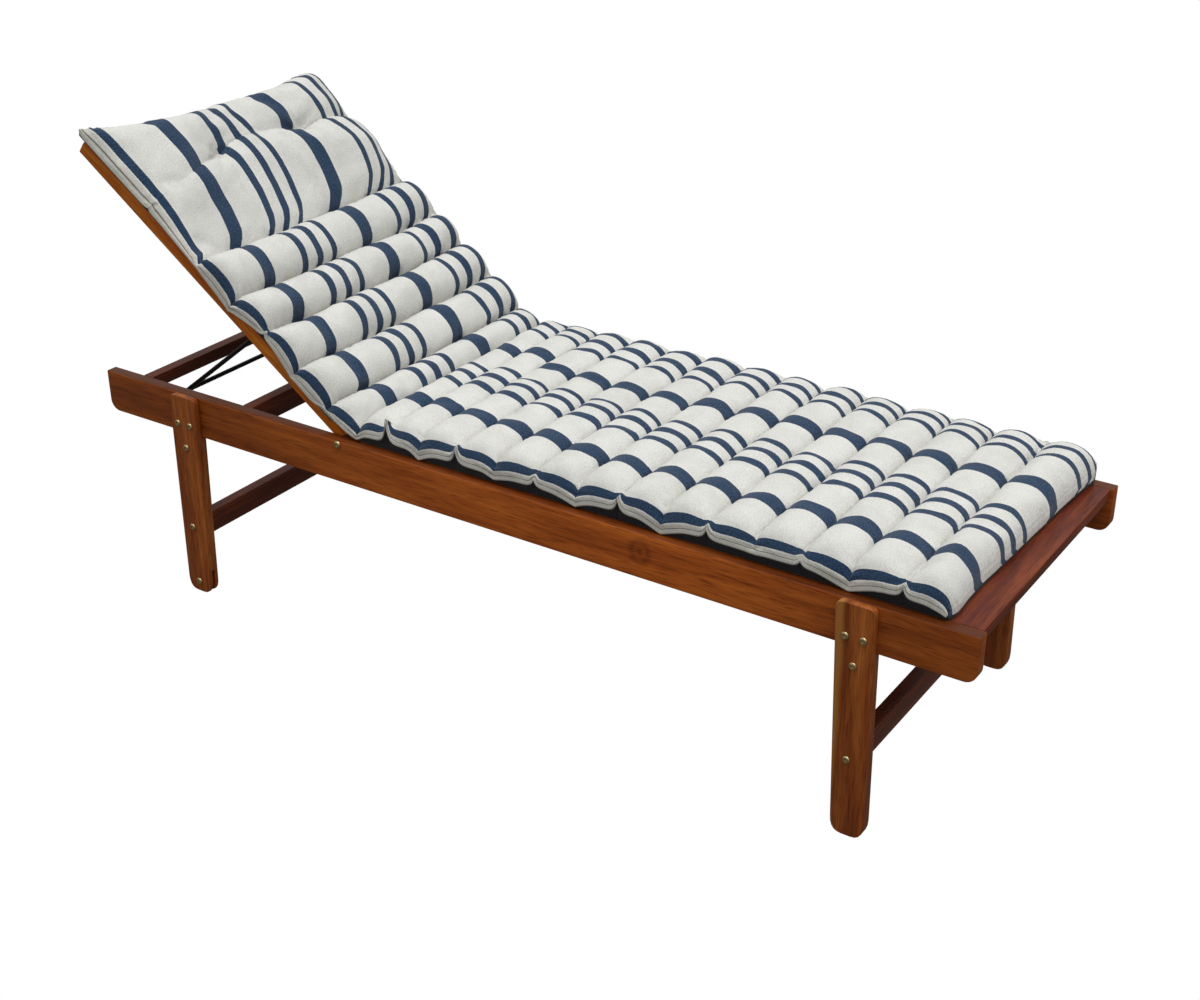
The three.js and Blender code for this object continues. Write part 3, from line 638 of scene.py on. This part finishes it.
def node(tree, kind, settings=None, **inputs):
    """Adds a node: settings are its own properties, inputs its sockets, each a value or a socket to link."""
    made = tree.nodes.new(kind)
    for name, value in (settings or {}).items():
        setattr(made, name, value)
    for name, value in inputs.items():
        key = int(name[1:]) if name[0] == "i" and name[1:].isdigit() else name.replace("_", " ")
        socket = made.inputs[key]
        if isinstance(value, bpy.types.NodeSocket):
            tree.links.new(value, socket)
        else:
            socket.default_value = value
    return made


MIX = {"data_type": "RGBA"}
MULTIPLY = {"data_type": "RGBA", "blend_type": "MULTIPLY"}
MULTIPLY_ADD = {"operation": "MULTIPLY_ADD"}


def ramp(tree, fac, stops, interpolation="LINEAR"):
    """A colour ramp: stops are (place, colour) pairs, the colours linear."""
    made = node(tree, "ShaderNodeValToRGB", Fac=fac)
    made.color_ramp.interpolation = interpolation
    elements = made.color_ramp.elements
    elements.remove(elements[1])
    elements[0].position, elements[0].color = stops[0]
    for position, colour in stops[1:]:
        elements.new(position).color = colour
    return made.outputs["Color"]


def new_material(name):
    """An empty material with its shader linked to the output."""
    made = bpy.data.materials.new(name)
    made.use_nodes = True
    return made, made.node_tree, made.node_tree.nodes["Principled BSDF"]


# Woven cotton canvas, undyed, with yarn-dyed navy stripes: matt, slightly fuzzy, its yarns unevenly thick.
# Stripe places and the cloth's span are millimetres across the cloth from the near rolled edge.
STRIPES = [(15, 32), (121, 154), (230, 245), (271, 286), (310, 325),
           (402, 435), (518, 533), (558, 573), (598, 613)]
CLOTH_SPAN = 700
# How far the stripes' borders wander, in metres, and how wide the band of painted shade along the roll is
WANDER, FRAY = 0.003, 0.0014
HEM_SHADE_BAND = 20


def stripe_share(tree, cloth):
    """One within a stripe and nothing between them, by the place across; the borders wander a little."""
    wobble = node(tree, "ShaderNodeTexNoise", Vector=cloth, Scale=18.0, Detail=3.0)
    parts = node(tree, "ShaderNodeSeparateXYZ", Vector=cloth)
    soft = node(tree, "ShaderNodeTexNoise", Vector=cloth, Scale=420.0, Detail=2.0)
    bent = node(tree, "ShaderNodeMath", MULTIPLY_ADD,
                i0=wobble.outputs["Fac"], i1=WANDER, i2=parts.outputs["X"]).outputs[0]
    bent = node(tree, "ShaderNodeMath", MULTIPLY_ADD,
                i0=soft.outputs["Fac"], i1=FRAY, i2=bent).outputs[0]
    place = node(tree, "ShaderNodeMath", {"operation": "MULTIPLY"}, i0=bent, i1=1000 / CLOTH_SPAN).outputs[0]
    shift = (WANDER + FRAY) / 2 / MM
    stops = [(0.0, (0, 0, 0, 1))]
    for low, high in STRIPES:
        stops += [((low + shift) / CLOTH_SPAN, (1, 1, 1, 1)), ((high + shift) / CLOTH_SPAN, (0, 0, 0, 1))]
    return ramp(tree, place, stops, "CONSTANT")


def canvas_tones(tree, cloth):
    """The cloth's colours: navy yarns in the stripes, flecked undyed ones between, black on the underside.
    Along the roll the hem is painted in shade: greyer, darker at the roll itself, with a painted shadow line
    in the groove where it is turned under."""
    is_stripe = stripe_share(tree, cloth)
    mottle = node(tree, "ShaderNodeTexNoise", Vector=cloth, Scale=14.0, Detail=7.0, Roughness=0.72)
    white = ramp(tree, mottle.outputs["Fac"], [(0.3, linear("#D6D6CF")), (0.55, linear("#E3E3DE")),
                                               (0.8, linear("#E9E9E5"))])
    fleck = node(tree, "ShaderNodeTexNoise", Vector=cloth, Scale=400.0, Detail=3.0, Roughness=0.75)
    navy = ramp(tree, fleck.outputs["Fac"], [(0.34, linear("#15273C")), (0.5, linear("#223A55")),
                                             (0.68, linear("#3C5874"))])
    slub = ramp(tree, fleck.outputs["Fac"], [(0.34, (0.76, 0.75, 0.72, 1)), (0.54, (1, 1, 1, 1))])
    pale = node(tree, "ShaderNodeMix", MULTIPLY, i0=1.0, i6=white, i7=slub)
    striped = node(tree, "ShaderNodeMix", MIX, i0=is_stripe, i6=pale.outputs[2], i7=navy)
    beneath = node(tree, "ShaderNodeAttribute", {"attribute_name": "is_under"}).outputs["Fac"]
    lining = ramp(tree, fleck.outputs["Fac"], [(0.3, linear("#0B0C10")), (0.7, linear("#1B1D24"))])
    from_edge = node(tree, "ShaderNodeAttribute", {"attribute_name": "edge_gap"}).outputs["Fac"]
    from_edge = node(tree, "ShaderNodeMath", {"operation": "MULTIPLY"},
                     i0=from_edge, i1=1000 / HEM_SHADE_BAND).outputs[0]
    # Painted shade: the hem greyer than the top, darker at the roll and with a dark painted shadow line in
    # its groove.
    painted_hem_shade = ramp(tree, from_edge, [(0.0, (0.6, 0.6, 0.57, 1)), (0.08, (0.9, 0.89, 0.86, 1)),
                                  (0.16, (0.84, 0.83, 0.8, 1)),
                                  (0.21, (0.24, 0.23, 0.21, 1)), (0.27, (0.24, 0.23, 0.21, 1)),
                                  (0.33, (0.8, 0.79, 0.76, 1)), (0.68, (0.86, 0.85, 0.82, 1)),
                                  (0.78, (1, 1, 1, 1))])
    striped = node(tree, "ShaderNodeMix", MULTIPLY, i0=1.0, i6=striped.outputs[2], i7=painted_hem_shade)
    side = ramp(tree, beneath, [(0.0, (0, 0, 0, 1)), (0.5, (1, 1, 1, 1))], "CONSTANT")
    return node(tree, "ShaderNodeMix", MIX, i0=side, i6=striped.outputs[2], i7=lining)


def weave_relief(tree, cloth):
    """The yarns as two crossed wave patterns, 1.7 and 1.8 mm apart, twice as coarse as real ones so that they
    show, on top of soft creases about 14 mm apart."""
    warp = node(tree, "ShaderNodeTexWave", {"bands_direction": "X", "wave_profile": "SIN"},
                Vector=cloth, Scale=190.0, Distortion=1.2, Detail=2.0, Detail_Scale=3.0)
    weft = node(tree, "ShaderNodeTexWave", {"bands_direction": "Y", "wave_profile": "SIN"},
                Vector=cloth, Scale=170.0, Distortion=1.2, Detail=2.0, Detail_Scale=3.0)
    weave = node(tree, "ShaderNodeMath", {"operation": "ADD"}, i0=warp.outputs["Fac"], i1=weft.outputs["Fac"])
    yarn = node(tree, "ShaderNodeBump", Strength=0.5, Distance=0.0008, Height=weave.outputs[0])
    creases = node(tree, "ShaderNodeTexNoise", Vector=cloth, Scale=70.0, Detail=4.0, Roughness=0.6)
    return node(tree, "ShaderNodeBump", Strength=0.6, Distance=0.003,
                Height=creases.outputs["Fac"], Normal=yarn.outputs["Normal"])


def striped_canvas():
    """Canvas by its own map, across and along on the cloth: matt, with a faint sheen of loose fibres."""
    made, tree, shader = new_material("woven_cotton_canvas")
    cloth = node(tree, "ShaderNodeUVMap", {"uv_map": "cloth"}).outputs["UV"]
    shader.inputs["Roughness"].default_value = 0.92
    shader.inputs["Sheen Weight"].default_value = 0.15
    shader.inputs["Sheen Roughness"].default_value = 0.5
    shader.inputs["Specular IOR Level"].default_value = 0.2
    tree.links.new(canvas_tones(tree, cloth).outputs[2], shader.inputs["Base Color"])
    tree.links.new(weave_relief(tree, cloth).outputs["Normal"], shader.inputs["Normal"])
    return made


cover_mesh.materials.append(striped_canvas())
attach(cushion, "root")
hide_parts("cushion")


# Side rails: planed hardwood boards, their edges eased by hand and their lower corners rounded.
# They carry the seat between them and are finished with dark oil that the light catches on the edges, with a
# painted highlight along their upper edges and a painted shadow on their tops.
def eased_board(node_name, radius, number):
    """A copy of a board's solid, its doubled corners joined, its flat faces made whole and every long edge
    rounded. The number tells its grain from the other boards'."""
    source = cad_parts[node_name]
    mesh = source.data.copy()
    mesh.transform(source.matrix_world)
    mesh.materials.clear()
    work = bmesh.new()
    work.from_mesh(mesh)
    bmesh.ops.remove_doubles(work, verts=work.verts, dist=1e-5)
    bmesh.ops.dissolve_limit(work, angle_limit=math.radians(1), verts=work.verts, edges=work.edges)
    work.to_mesh(mesh)
    work.free()
    mesh.polygons.foreach_set("use_smooth", np.full(len(mesh.polygons), True))
    store(mesh, "board", np.full(len(mesh.vertices), number))
    piece = bpy.data.objects.new(f"{node_name}_wood", mesh)
    bpy.context.scene.collection.objects.link(piece)
    easing = piece.modifiers.new("eased", "BEVEL")
    easing.width = radius
    easing.segments = 3
    easing.angle_limit = math.radians(28)
    easing.harden_normals = True
    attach(piece, "root")
    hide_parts(node_name)
    return piece


# How the boards are turned so that their grain comes to lie along the texture's X
GRAIN_TURN = {
    "along": (0, 0, 0),
    "across": (0, 0, math.pi / 2),
    "upright": (0, math.pi / 2, 0),
    "sloping": (0, -BACK_ANGLE, 0),
}


def oiled_hardwood(name, direction, dark, middle_tone, light):
    """Dense red-brown hardwood under dark oil: long uneven streaks, short open pores and a soft shine that
    is duller in the pores. Returns the material and the node that holds its colour."""
    made, tree, shader = new_material(name)
    where = node(tree, "ShaderNodeTexCoord").outputs["Object"]
    board = node(tree, "ShaderNodeAttribute", {"attribute_name": "board"}).outputs["Fac"]
    turned_grain = node(tree, "ShaderNodeMapping", Vector=where, Rotation=GRAIN_TURN[direction]).outputs[0]
    long_grain = node(tree, "ShaderNodeMapping", Vector=turned_grain, Scale=(1.6, 22, 22)).outputs[0]
    pore_grain = node(tree, "ShaderNodeMapping", Vector=turned_grain, Scale=(26, 620, 620)).outputs[0]
    wide_grain = node(tree, "ShaderNodeMapping", Vector=turned_grain, Scale=(0.9, 5, 5)).outputs[0]
    streak = node(tree, "ShaderNodeTexNoise", {"noise_dimensions": "4D"},
                  Vector=long_grain, W=board, Scale=2.4, Detail=7.0, Roughness=0.62, Distortion=0.5)
    broad = node(tree, "ShaderNodeTexNoise", {"noise_dimensions": "4D"},
                 Vector=wide_grain, W=board, Scale=2.0, Detail=3.0, Distortion=0.8)
    pores = node(tree, "ShaderNodeTexNoise", Vector=pore_grain, Scale=1.0, Detail=2.0)
    tone = node(tree, "ShaderNodeMath", MULTIPLY_ADD,
                i0=broad.outputs["Fac"], i1=0.45, i2=streak.outputs["Fac"]).outputs[0]
    figure = ramp(tree, tone, [(0.5, linear(dark)), (0.68, linear(middle_tone)), (0.9, linear(light))])
    pits = ramp(tree, pores.outputs["Fac"], [(0.34, (0.45, 0.4, 0.38, 1)), (0.46, (1, 1, 1, 1))])
    colour = node(tree, "ShaderNodeMix", MULTIPLY, i0=0.8, i6=figure, i7=pits)
    gloss = ramp(tree, streak.outputs["Fac"], [(0.3, (0.36, 0.36, 0.36, 1)), (0.7, (0.5, 0.5, 0.5, 1))])
    depth = node(tree, "ShaderNodeBump", Strength=0.12, Distance=0.0008, Height=pores.outputs["Fac"])
    tree.links.new(colour.outputs[2], shader.inputs["Base Color"])
    tree.links.new(gloss, shader.inputs["Roughness"])
    shader.inputs["Specular IOR Level"].default_value = 0.22
    tree.links.new(depth.outputs["Normal"], shader.inputs["Normal"])
    return made, colour


# Where the knot is: share of the rail's length and of its height, and its size as such shares
KNOT = (0.677, 0.58)
KNOT_SIZE = (0.014, 0.36)


def rail_wood_painted_light():
    """The rails' wood with painted light and shade: lighter in the middle of their length and darker towards
    both ends, a painted shadow on their tops where the cushion rests, a painted highlight along the upper
    edges, and a knot in the near rail."""
    made, colour = oiled_hardwood("oiled_hardwood_along", "along", "#9A4B18", "#BE5F1E", "#E07A2C")
    tree, shader = made.node_tree, made.node_tree.nodes["Principled BSDF"]
    where = node(tree, "ShaderNodeTexCoord").outputs["Object"]
    size = [high - low for low, high in zip(rail_low, rail_high)]
    start = [-low / run for low, run in zip(rail_low, size)]
    share = node(tree, "ShaderNodeMapping", Vector=where,
                 Location=start, Scale=[1 / run for run in size]).outputs[0]
    place = node(tree, "ShaderNodeSeparateXYZ", Vector=share)
    # Painted light and shade along the rail: lighter in the middle of its length, darker towards both ends.
    fade = ramp(tree, place.outputs["X"], [(0.12, (0.6, 0.6, 0.6, 1)), (0.5, (0.92, 0.92, 0.92, 1)),
                                           (0.72, (1, 1, 1, 1)), (0.92, (0.58, 0.58, 0.6, 1))])
    # Painted shadow on the top face under the cushion, and a painted highlight just below the upper edge.
    edge_highlight_and_top_shadow = ramp(tree, place.outputs["Z"], [(0.955, (0.84, 0.84, 0.84, 1)), (0.972, (1, 1, 1, 1)),
                                           (0.985, (0.9, 0.9, 0.9, 1)), (0.994, (0.3, 0.28, 0.27, 1))])
    knot_map = node(tree, "ShaderNodeMapping", Vector=share,
                    Location=(-KNOT[0] / KNOT_SIZE[0], 0, -KNOT[1] / KNOT_SIZE[1]),
                    Scale=(1 / KNOT_SIZE[0], 0, 1 / KNOT_SIZE[1])).outputs[0]
    bend = node(tree, "ShaderNodeTexNoise", Vector=share, Scale=9.0, Detail=3.0)
    bent = node(tree, "ShaderNodeVectorMath", {"operation": "ADD"}, i0=knot_map, i1=bend.outputs["Color"])
    far_off = node(tree, "ShaderNodeVectorMath", {"operation": "DISTANCE"},
                   i0=bent.outputs[0], i1=(0.5, 0.5, 0.5))
    knot = ramp(tree, far_off.outputs["Value"], [(0.0, (0.5, 0.45, 0.4, 1)), (0.3, (0.9, 0.9, 0.9, 1)),
                                                 (0.6, (0.62, 0.58, 0.54, 1)), (1.0, (1, 1, 1, 1))])
    shown = colour.outputs[2]
    for layer in (fade, edge_highlight_and_top_shadow, knot):
        shown = node(tree, "ShaderNodeMix", MULTIPLY, i0=1.0, i6=shown, i7=layer).outputs[2]
    tree.links.new(shown, shader.inputs["Base Color"])
    return made


EDGE_EASING = 0.002
rail_wood = rail_wood_painted_light()
for number, rail in enumerate(("rail_near", "rail_far")):
    eased_board(rail, EDGE_EASING, 1.7 + number).data.materials.append(rail_wood)


# Legs: four tapered hardwood boards bolted to the rails' outer faces, their feet rounded and, at the
# head end, slotted for the wheels.
LEG_TONES = ("#632F12", "#854117", "#AE6429")
leg_wood, _ = oiled_hardwood("oiled_hardwood_upright", "upright", *LEG_TONES)


def leg_with_sapwood(node_name):
    """Leg wood with a paler strip of sapwood down the edge that faces the head end; the strip's border
    wanders."""
    made, colour = oiled_hardwood("hardwood_with_sapwood", "upright", *LEG_TONES)
    tree, shader = made.node_tree, made.node_tree.nodes["Principled BSDF"]
    low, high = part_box(node_name)
    where = node(tree, "ShaderNodeTexCoord").outputs["Object"]
    place = node(tree, "ShaderNodeSeparateXYZ", Vector=where)
    wander = node(tree, "ShaderNodeTexNoise", Vector=where, Scale=7.0, Detail=3.0)
    bent = node(tree, "ShaderNodeMath", MULTIPLY_ADD,
                i0=wander.outputs["Fac"], i1=0.012, i2=place.outputs["X"]).outputs[0]
    share = node(tree, "ShaderNodeMath", {"operation": "SUBTRACT"}, i0=bent, i1=low[0] + 0.006).outputs[0]
    share = node(tree, "ShaderNodeMath", {"operation": "DIVIDE"}, i0=share, i1=high[0] - low[0]).outputs[0]
    strip = ramp(tree, share, [(0.16, (0.8, 0.8, 0.8, 1)), (0.27, (0, 0, 0, 1))])
    shown = node(tree, "ShaderNodeMix", MIX, i0=strip, i6=colour.outputs[2], i7=linear("#AE763A"))
    tree.links.new(shown.outputs[2], shader.inputs["Base Color"])
    return made


legs = ("leg_foot_near", "leg_head_near", "leg_foot_far", "leg_head_far")
leg_woods = (leg_with_sapwood("leg_foot_near"), leg_wood, leg_wood, leg_wood)
for number, (leg, wood) in enumerate(zip(legs, leg_woods)):
    eased_board(leg, EDGE_EASING, 5.3 + number).data.materials.append(wood)


# Cross pieces: hardwood slats of the seat, the foot board, the crossbars and the stretchers between the
# legs, all set square between the rails. The foot board lies bare in the sun and is redder.
cross_wood, _ = oiled_hardwood("oiled_hardwood_across", "across", "#42190D", "#5D2917", "#7C3F24")
CROSS_PIECES = ["foot_board", "crossbar_head", "crossbar_prop", "stretcher_head", "stretcher_foot"]
CROSS_PIECES += [f"seat_slat_{i + 1}" for i in range(10)] + [f"back_slat_{i + 1}" for i in range(7)]
board_wood, _ = oiled_hardwood("red_oiled_hardwood_across", "across", "#401508", "#5C220E", "#7E3B1B")
for number, bar in enumerate(CROSS_PIECES):
    wood = board_wood if bar == "foot_board" else cross_wood
    eased_board(bar, EDGE_EASING, 11.1 + number).data.materials.append(wood)


# Back stiles: two hardwood boards with rounded ends that carry the back's slats. They have seen less sun
# and show a warmer, more orange brown.
stile_wood, _ = oiled_hardwood("oiled_hardwood_sloping", "sloping", "#92440A", "#BE6012", "#D8842A")
for number, stile in enumerate(("stile_near", "stile_far")):
    eased_board(stile, EDGE_EASING, 31.9 + number).data.materials.append(stile_wood)


# Bolts: domed steel heads with a hexagonal socket, brass-coloured, sunk against the legs and at the
# hinges and wheel axles.
def turned_piece(name, profile, centre, axis, corners=None, steps=48):
    """A turned piece: rings of the profile's radius and place along the axis. Where corners is given, the
    rings listed there are polygons with that many corners instead of circles."""
    axis = np.asarray(axis, dtype=float)
    side = np.cross(axis, (0, 0, 1) if abs(axis[2]) < 0.9 else (1, 0, 0))
    side /= np.linalg.norm(side)
    other = np.cross(axis, side)
    angle = np.arange(steps) * math.tau / steps
    radius, along = np.asarray(profile, dtype=float).T
    reach = radius[:, None] * np.ones(steps)
    for ring_number, count in (corners or {}).items():
        turn_share = np.mod(angle, math.tau / count) - math.pi / count
        reach[ring_number] *= math.cos(math.pi / count) / np.cos(turn_share)
    ring_points = reach[..., None] * (np.cos(angle)[:, None] * side + np.sin(angle)[:, None] * other)
    points = np.asarray(centre) + along[:, None, None] * axis + ring_points
    index = np.arange(len(radius) * steps).reshape(-1, steps)
    quads = np.stack([index[:-1], index[1:], np.roll(index[1:], -1, 1), np.roll(index[:-1], -1, 1)], axis=-1)
    faces = quads.reshape(-1, 4).tolist() + [index[0].tolist(), index[-1][::-1].tolist()]
    piece = add_mesh(name, points, faces)
    piece.data.set_sharp_from_angle(angle=math.radians(38))
    return piece


def brushed_metal(name, low, high, metallic, rough):
    """Metal with fine scratches and handling marks: its tone and its shine vary a little from place to
    place."""
    made, tree, shader = new_material(name)
    where = node(tree, "ShaderNodeTexCoord").outputs["Object"]
    marks = node(tree, "ShaderNodeTexNoise", Vector=where, Scale=420.0, Detail=5.0, Roughness=0.65)
    tree.links.new(ramp(tree, marks.outputs["Fac"], [(0.3, linear(low)), (0.7, linear(high))]),
                   shader.inputs["Base Color"])
    shine = ramp(tree, marks.outputs["Fac"], [(0.3, (rough,) * 3 + (1,)), (0.7, (rough * 1.5,) * 3 + (1,))])
    tree.links.new(shine, shader.inputs["Roughness"])
    shader.inputs["Metallic"].default_value = metallic
    scratch = node(tree, "ShaderNodeBump", Strength=0.15, Distance=0.0003, Height=marks.outputs["Fac"])
    tree.links.new(scratch.outputs["Normal"], shader.inputs["Normal"])
    return made


bolt_metal = brushed_metal("passivated_steel_bolt", "#A08F62", "#DCCB9A", 1.0, 0.25)
# Radius and height over the base, in millimetres, from the socket's floor outwards
BOLT_HEAD = [(2.8, 0.6), (3.0, 0.7), (3.0, 3.0), (3.4, 3.3), (4.6, 3.3),
             (5.9, 2.7), (6.8, 1.7), (7.2, 0.8), (7.3, 0)]
bolts = [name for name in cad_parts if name.startswith("bolt_")]
for bolt in bolts:
    low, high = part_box(bolt)
    outward = 1 if low[1] > 0 else -1
    base = ((low[0] + high[0]) / 2, low[1] if outward > 0 else high[1], (low[2] + high[2]) / 2)
    head = turned_piece(f"{bolt}_head", np.array(BOLT_HEAD) * MM, base, (0, outward, 0),
                        corners={0: 6, 1: 6, 2: 6})
    head.data.materials.append(bolt_metal)
    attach(head, "root")
    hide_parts(bolt)


# Wheels: solid black plastic discs with a rounded tread and a sunk face, turning in the head legs' slots.
wheel_plastic = brushed_metal("black_moulded_plastic", "#120F0D", "#1E1A17", 0.0, 0.45)
# Share of the radius and of the thickness, from the hub outwards and back
WHEEL = [(0.16, 0.1), (0.2, 0.0), (0.3, 0.0), (0.34, 0.12), (0.72, 0.12),
         (0.78, 0.0), (0.9, 0.0), (0.97, 0.14), (1.0, 0.4)]
for side_name in ("near", "far"):
    low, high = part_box(f"wheel_{side_name}")
    radius, thickness = (high[2] - low[2]) / 2, high[1] - low[1]
    half = np.array(WHEEL)
    profile = np.concatenate([half, (half * (1, -1) + (0, 1))[::-1]]) * (radius, thickness)
    hub = ((low[0] + high[0]) / 2, low[1], (low[2] + high[2]) / 2)
    wheel = turned_piece(f"wheel_{side_name}_disc", profile, hub, (0, 1, 0))
    wheel.data.materials.append(wheel_plastic)
    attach(wheel, "root")
    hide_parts(f"wheel_{side_name}")


# Prop: a black steel rod between the rails and two arms that hold the back up, with a steel washer
# between each stile and its rail.
prop_steel = brushed_metal("black_painted_steel", "#0E0E0D", "#1B1C1A", 0.6, 0.34)
PROP_RADIUS = 4.5
# The arms' lower ends, and how far up the back and how far below its line the upper ends lie
PROP_FOOT = (165, 415)
PROP_UP, PROP_BELOW = 286, 25
PROP_HEAD = (CREASE_X - PROP_UP * math.cos(BACK_ANGLE) - PROP_BELOW * math.sin(BACK_ANGLE),
             SEAT_TOP + PROP_UP * math.sin(BACK_ANGLE) - PROP_BELOW * math.cos(BACK_ANGLE))


def prop_rod(node_name, start, end):
    """A round bar of the prop between two points, its ends slightly eased; it stands for one node."""
    run = np.linalg.norm(end - start)
    eased, full = PROP_RADIUS * 0.8 * MM, PROP_RADIUS * MM
    profile = [(eased, 0), (full, 0.001), (full, run - 0.001), (eased, run)]
    bar = turned_piece(f"{node_name}_rod", profile, start, (end - start) / run, steps=24)
    bar.data.materials.append(prop_steel)
    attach(bar, "root")
    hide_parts(node_name)


for arm in ("prop_arm_near", "prop_arm_far"):
    low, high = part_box(arm)
    middle_y = (low[1] + high[1]) / 2
    start, end = (np.array(((HEAD_X + x) * MM, middle_y, z * MM)) for x, z in (PROP_FOOT, PROP_HEAD))
    lead = (end - start) / np.linalg.norm(end - start) * (PROP_RADIUS + 0.4) * MM
    prop_rod(arm, start + lead, end)
low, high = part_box("prop_foot")
middle_x, middle_z = (low[0] + high[0]) / 2, (low[2] + high[2]) / 2
prop_rod("prop_foot", np.array((middle_x, low[1], middle_z)), np.array((middle_x, high[1], middle_z)))
washer_steel = brushed_metal("plain_steel_washer", "#5C5B57", "#8A8984", 1.0, 0.35)
for washer in ("washer_near", "washer_far"):
    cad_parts[washer].data.materials.clear()
    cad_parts[washer].data.materials.append(washer_steel)


# Background and light: seamless white behind, brighter sky than ground, and a broad soft sun from above,
# a little towards the foot end.
def studio_sky():
    """White where the camera looks past the lounger. What lights the lounger is brightest overhead, half as
    bright at eye level and dim from below."""
    world = bpy.data.worlds.new("studio")
    world.use_nodes = True
    tree = world.node_tree
    seen = node(tree, "ShaderNodeLightPath").outputs["Is Camera Ray"]
    height = node(tree, "ShaderNodeSeparateXYZ", Vector=node(tree, "ShaderNodeTexCoord").outputs["Generated"])
    share = node(tree, "ShaderNodeMath", MULTIPLY_ADD,
                 i0=height.outputs["Z"], i1=0.5, i2=0.5)
    light = ramp(tree, share.outputs[0], [(0.0, (0.12, 0.11, 0.10, 1)), (0.46, (0.16, 0.15, 0.14, 1)),
                                          (0.56, (0.40, 0.40, 0.40, 1)), (0.85, (0.84, 0.84, 0.85, 1))])
    colour = node(tree, "ShaderNodeMix", MIX, i0=seen, i6=light, i7=(1, 1, 1, 1))
    tree.links.new(colour.outputs[2], tree.nodes["Background"].inputs["Color"])
    return world


bpy.context.scene.view_settings.view_transform = "Standard"
bpy.context.scene.world = studio_sky()

SUN_FROM = Vector((0.22, -0.02, 1.0))
sun_data = bpy.data.lights.new("soft_sun", "SUN")
sun_data.energy = 1.54
sun_data.angle = math.radians(40)
sun = bpy.data.objects.new("soft_sun", sun_data)
sun.rotation_euler = SUN_FROM.to_track_quat("Z", "Y").to_euler()
bpy.context.scene.collection.objects.link(sun)
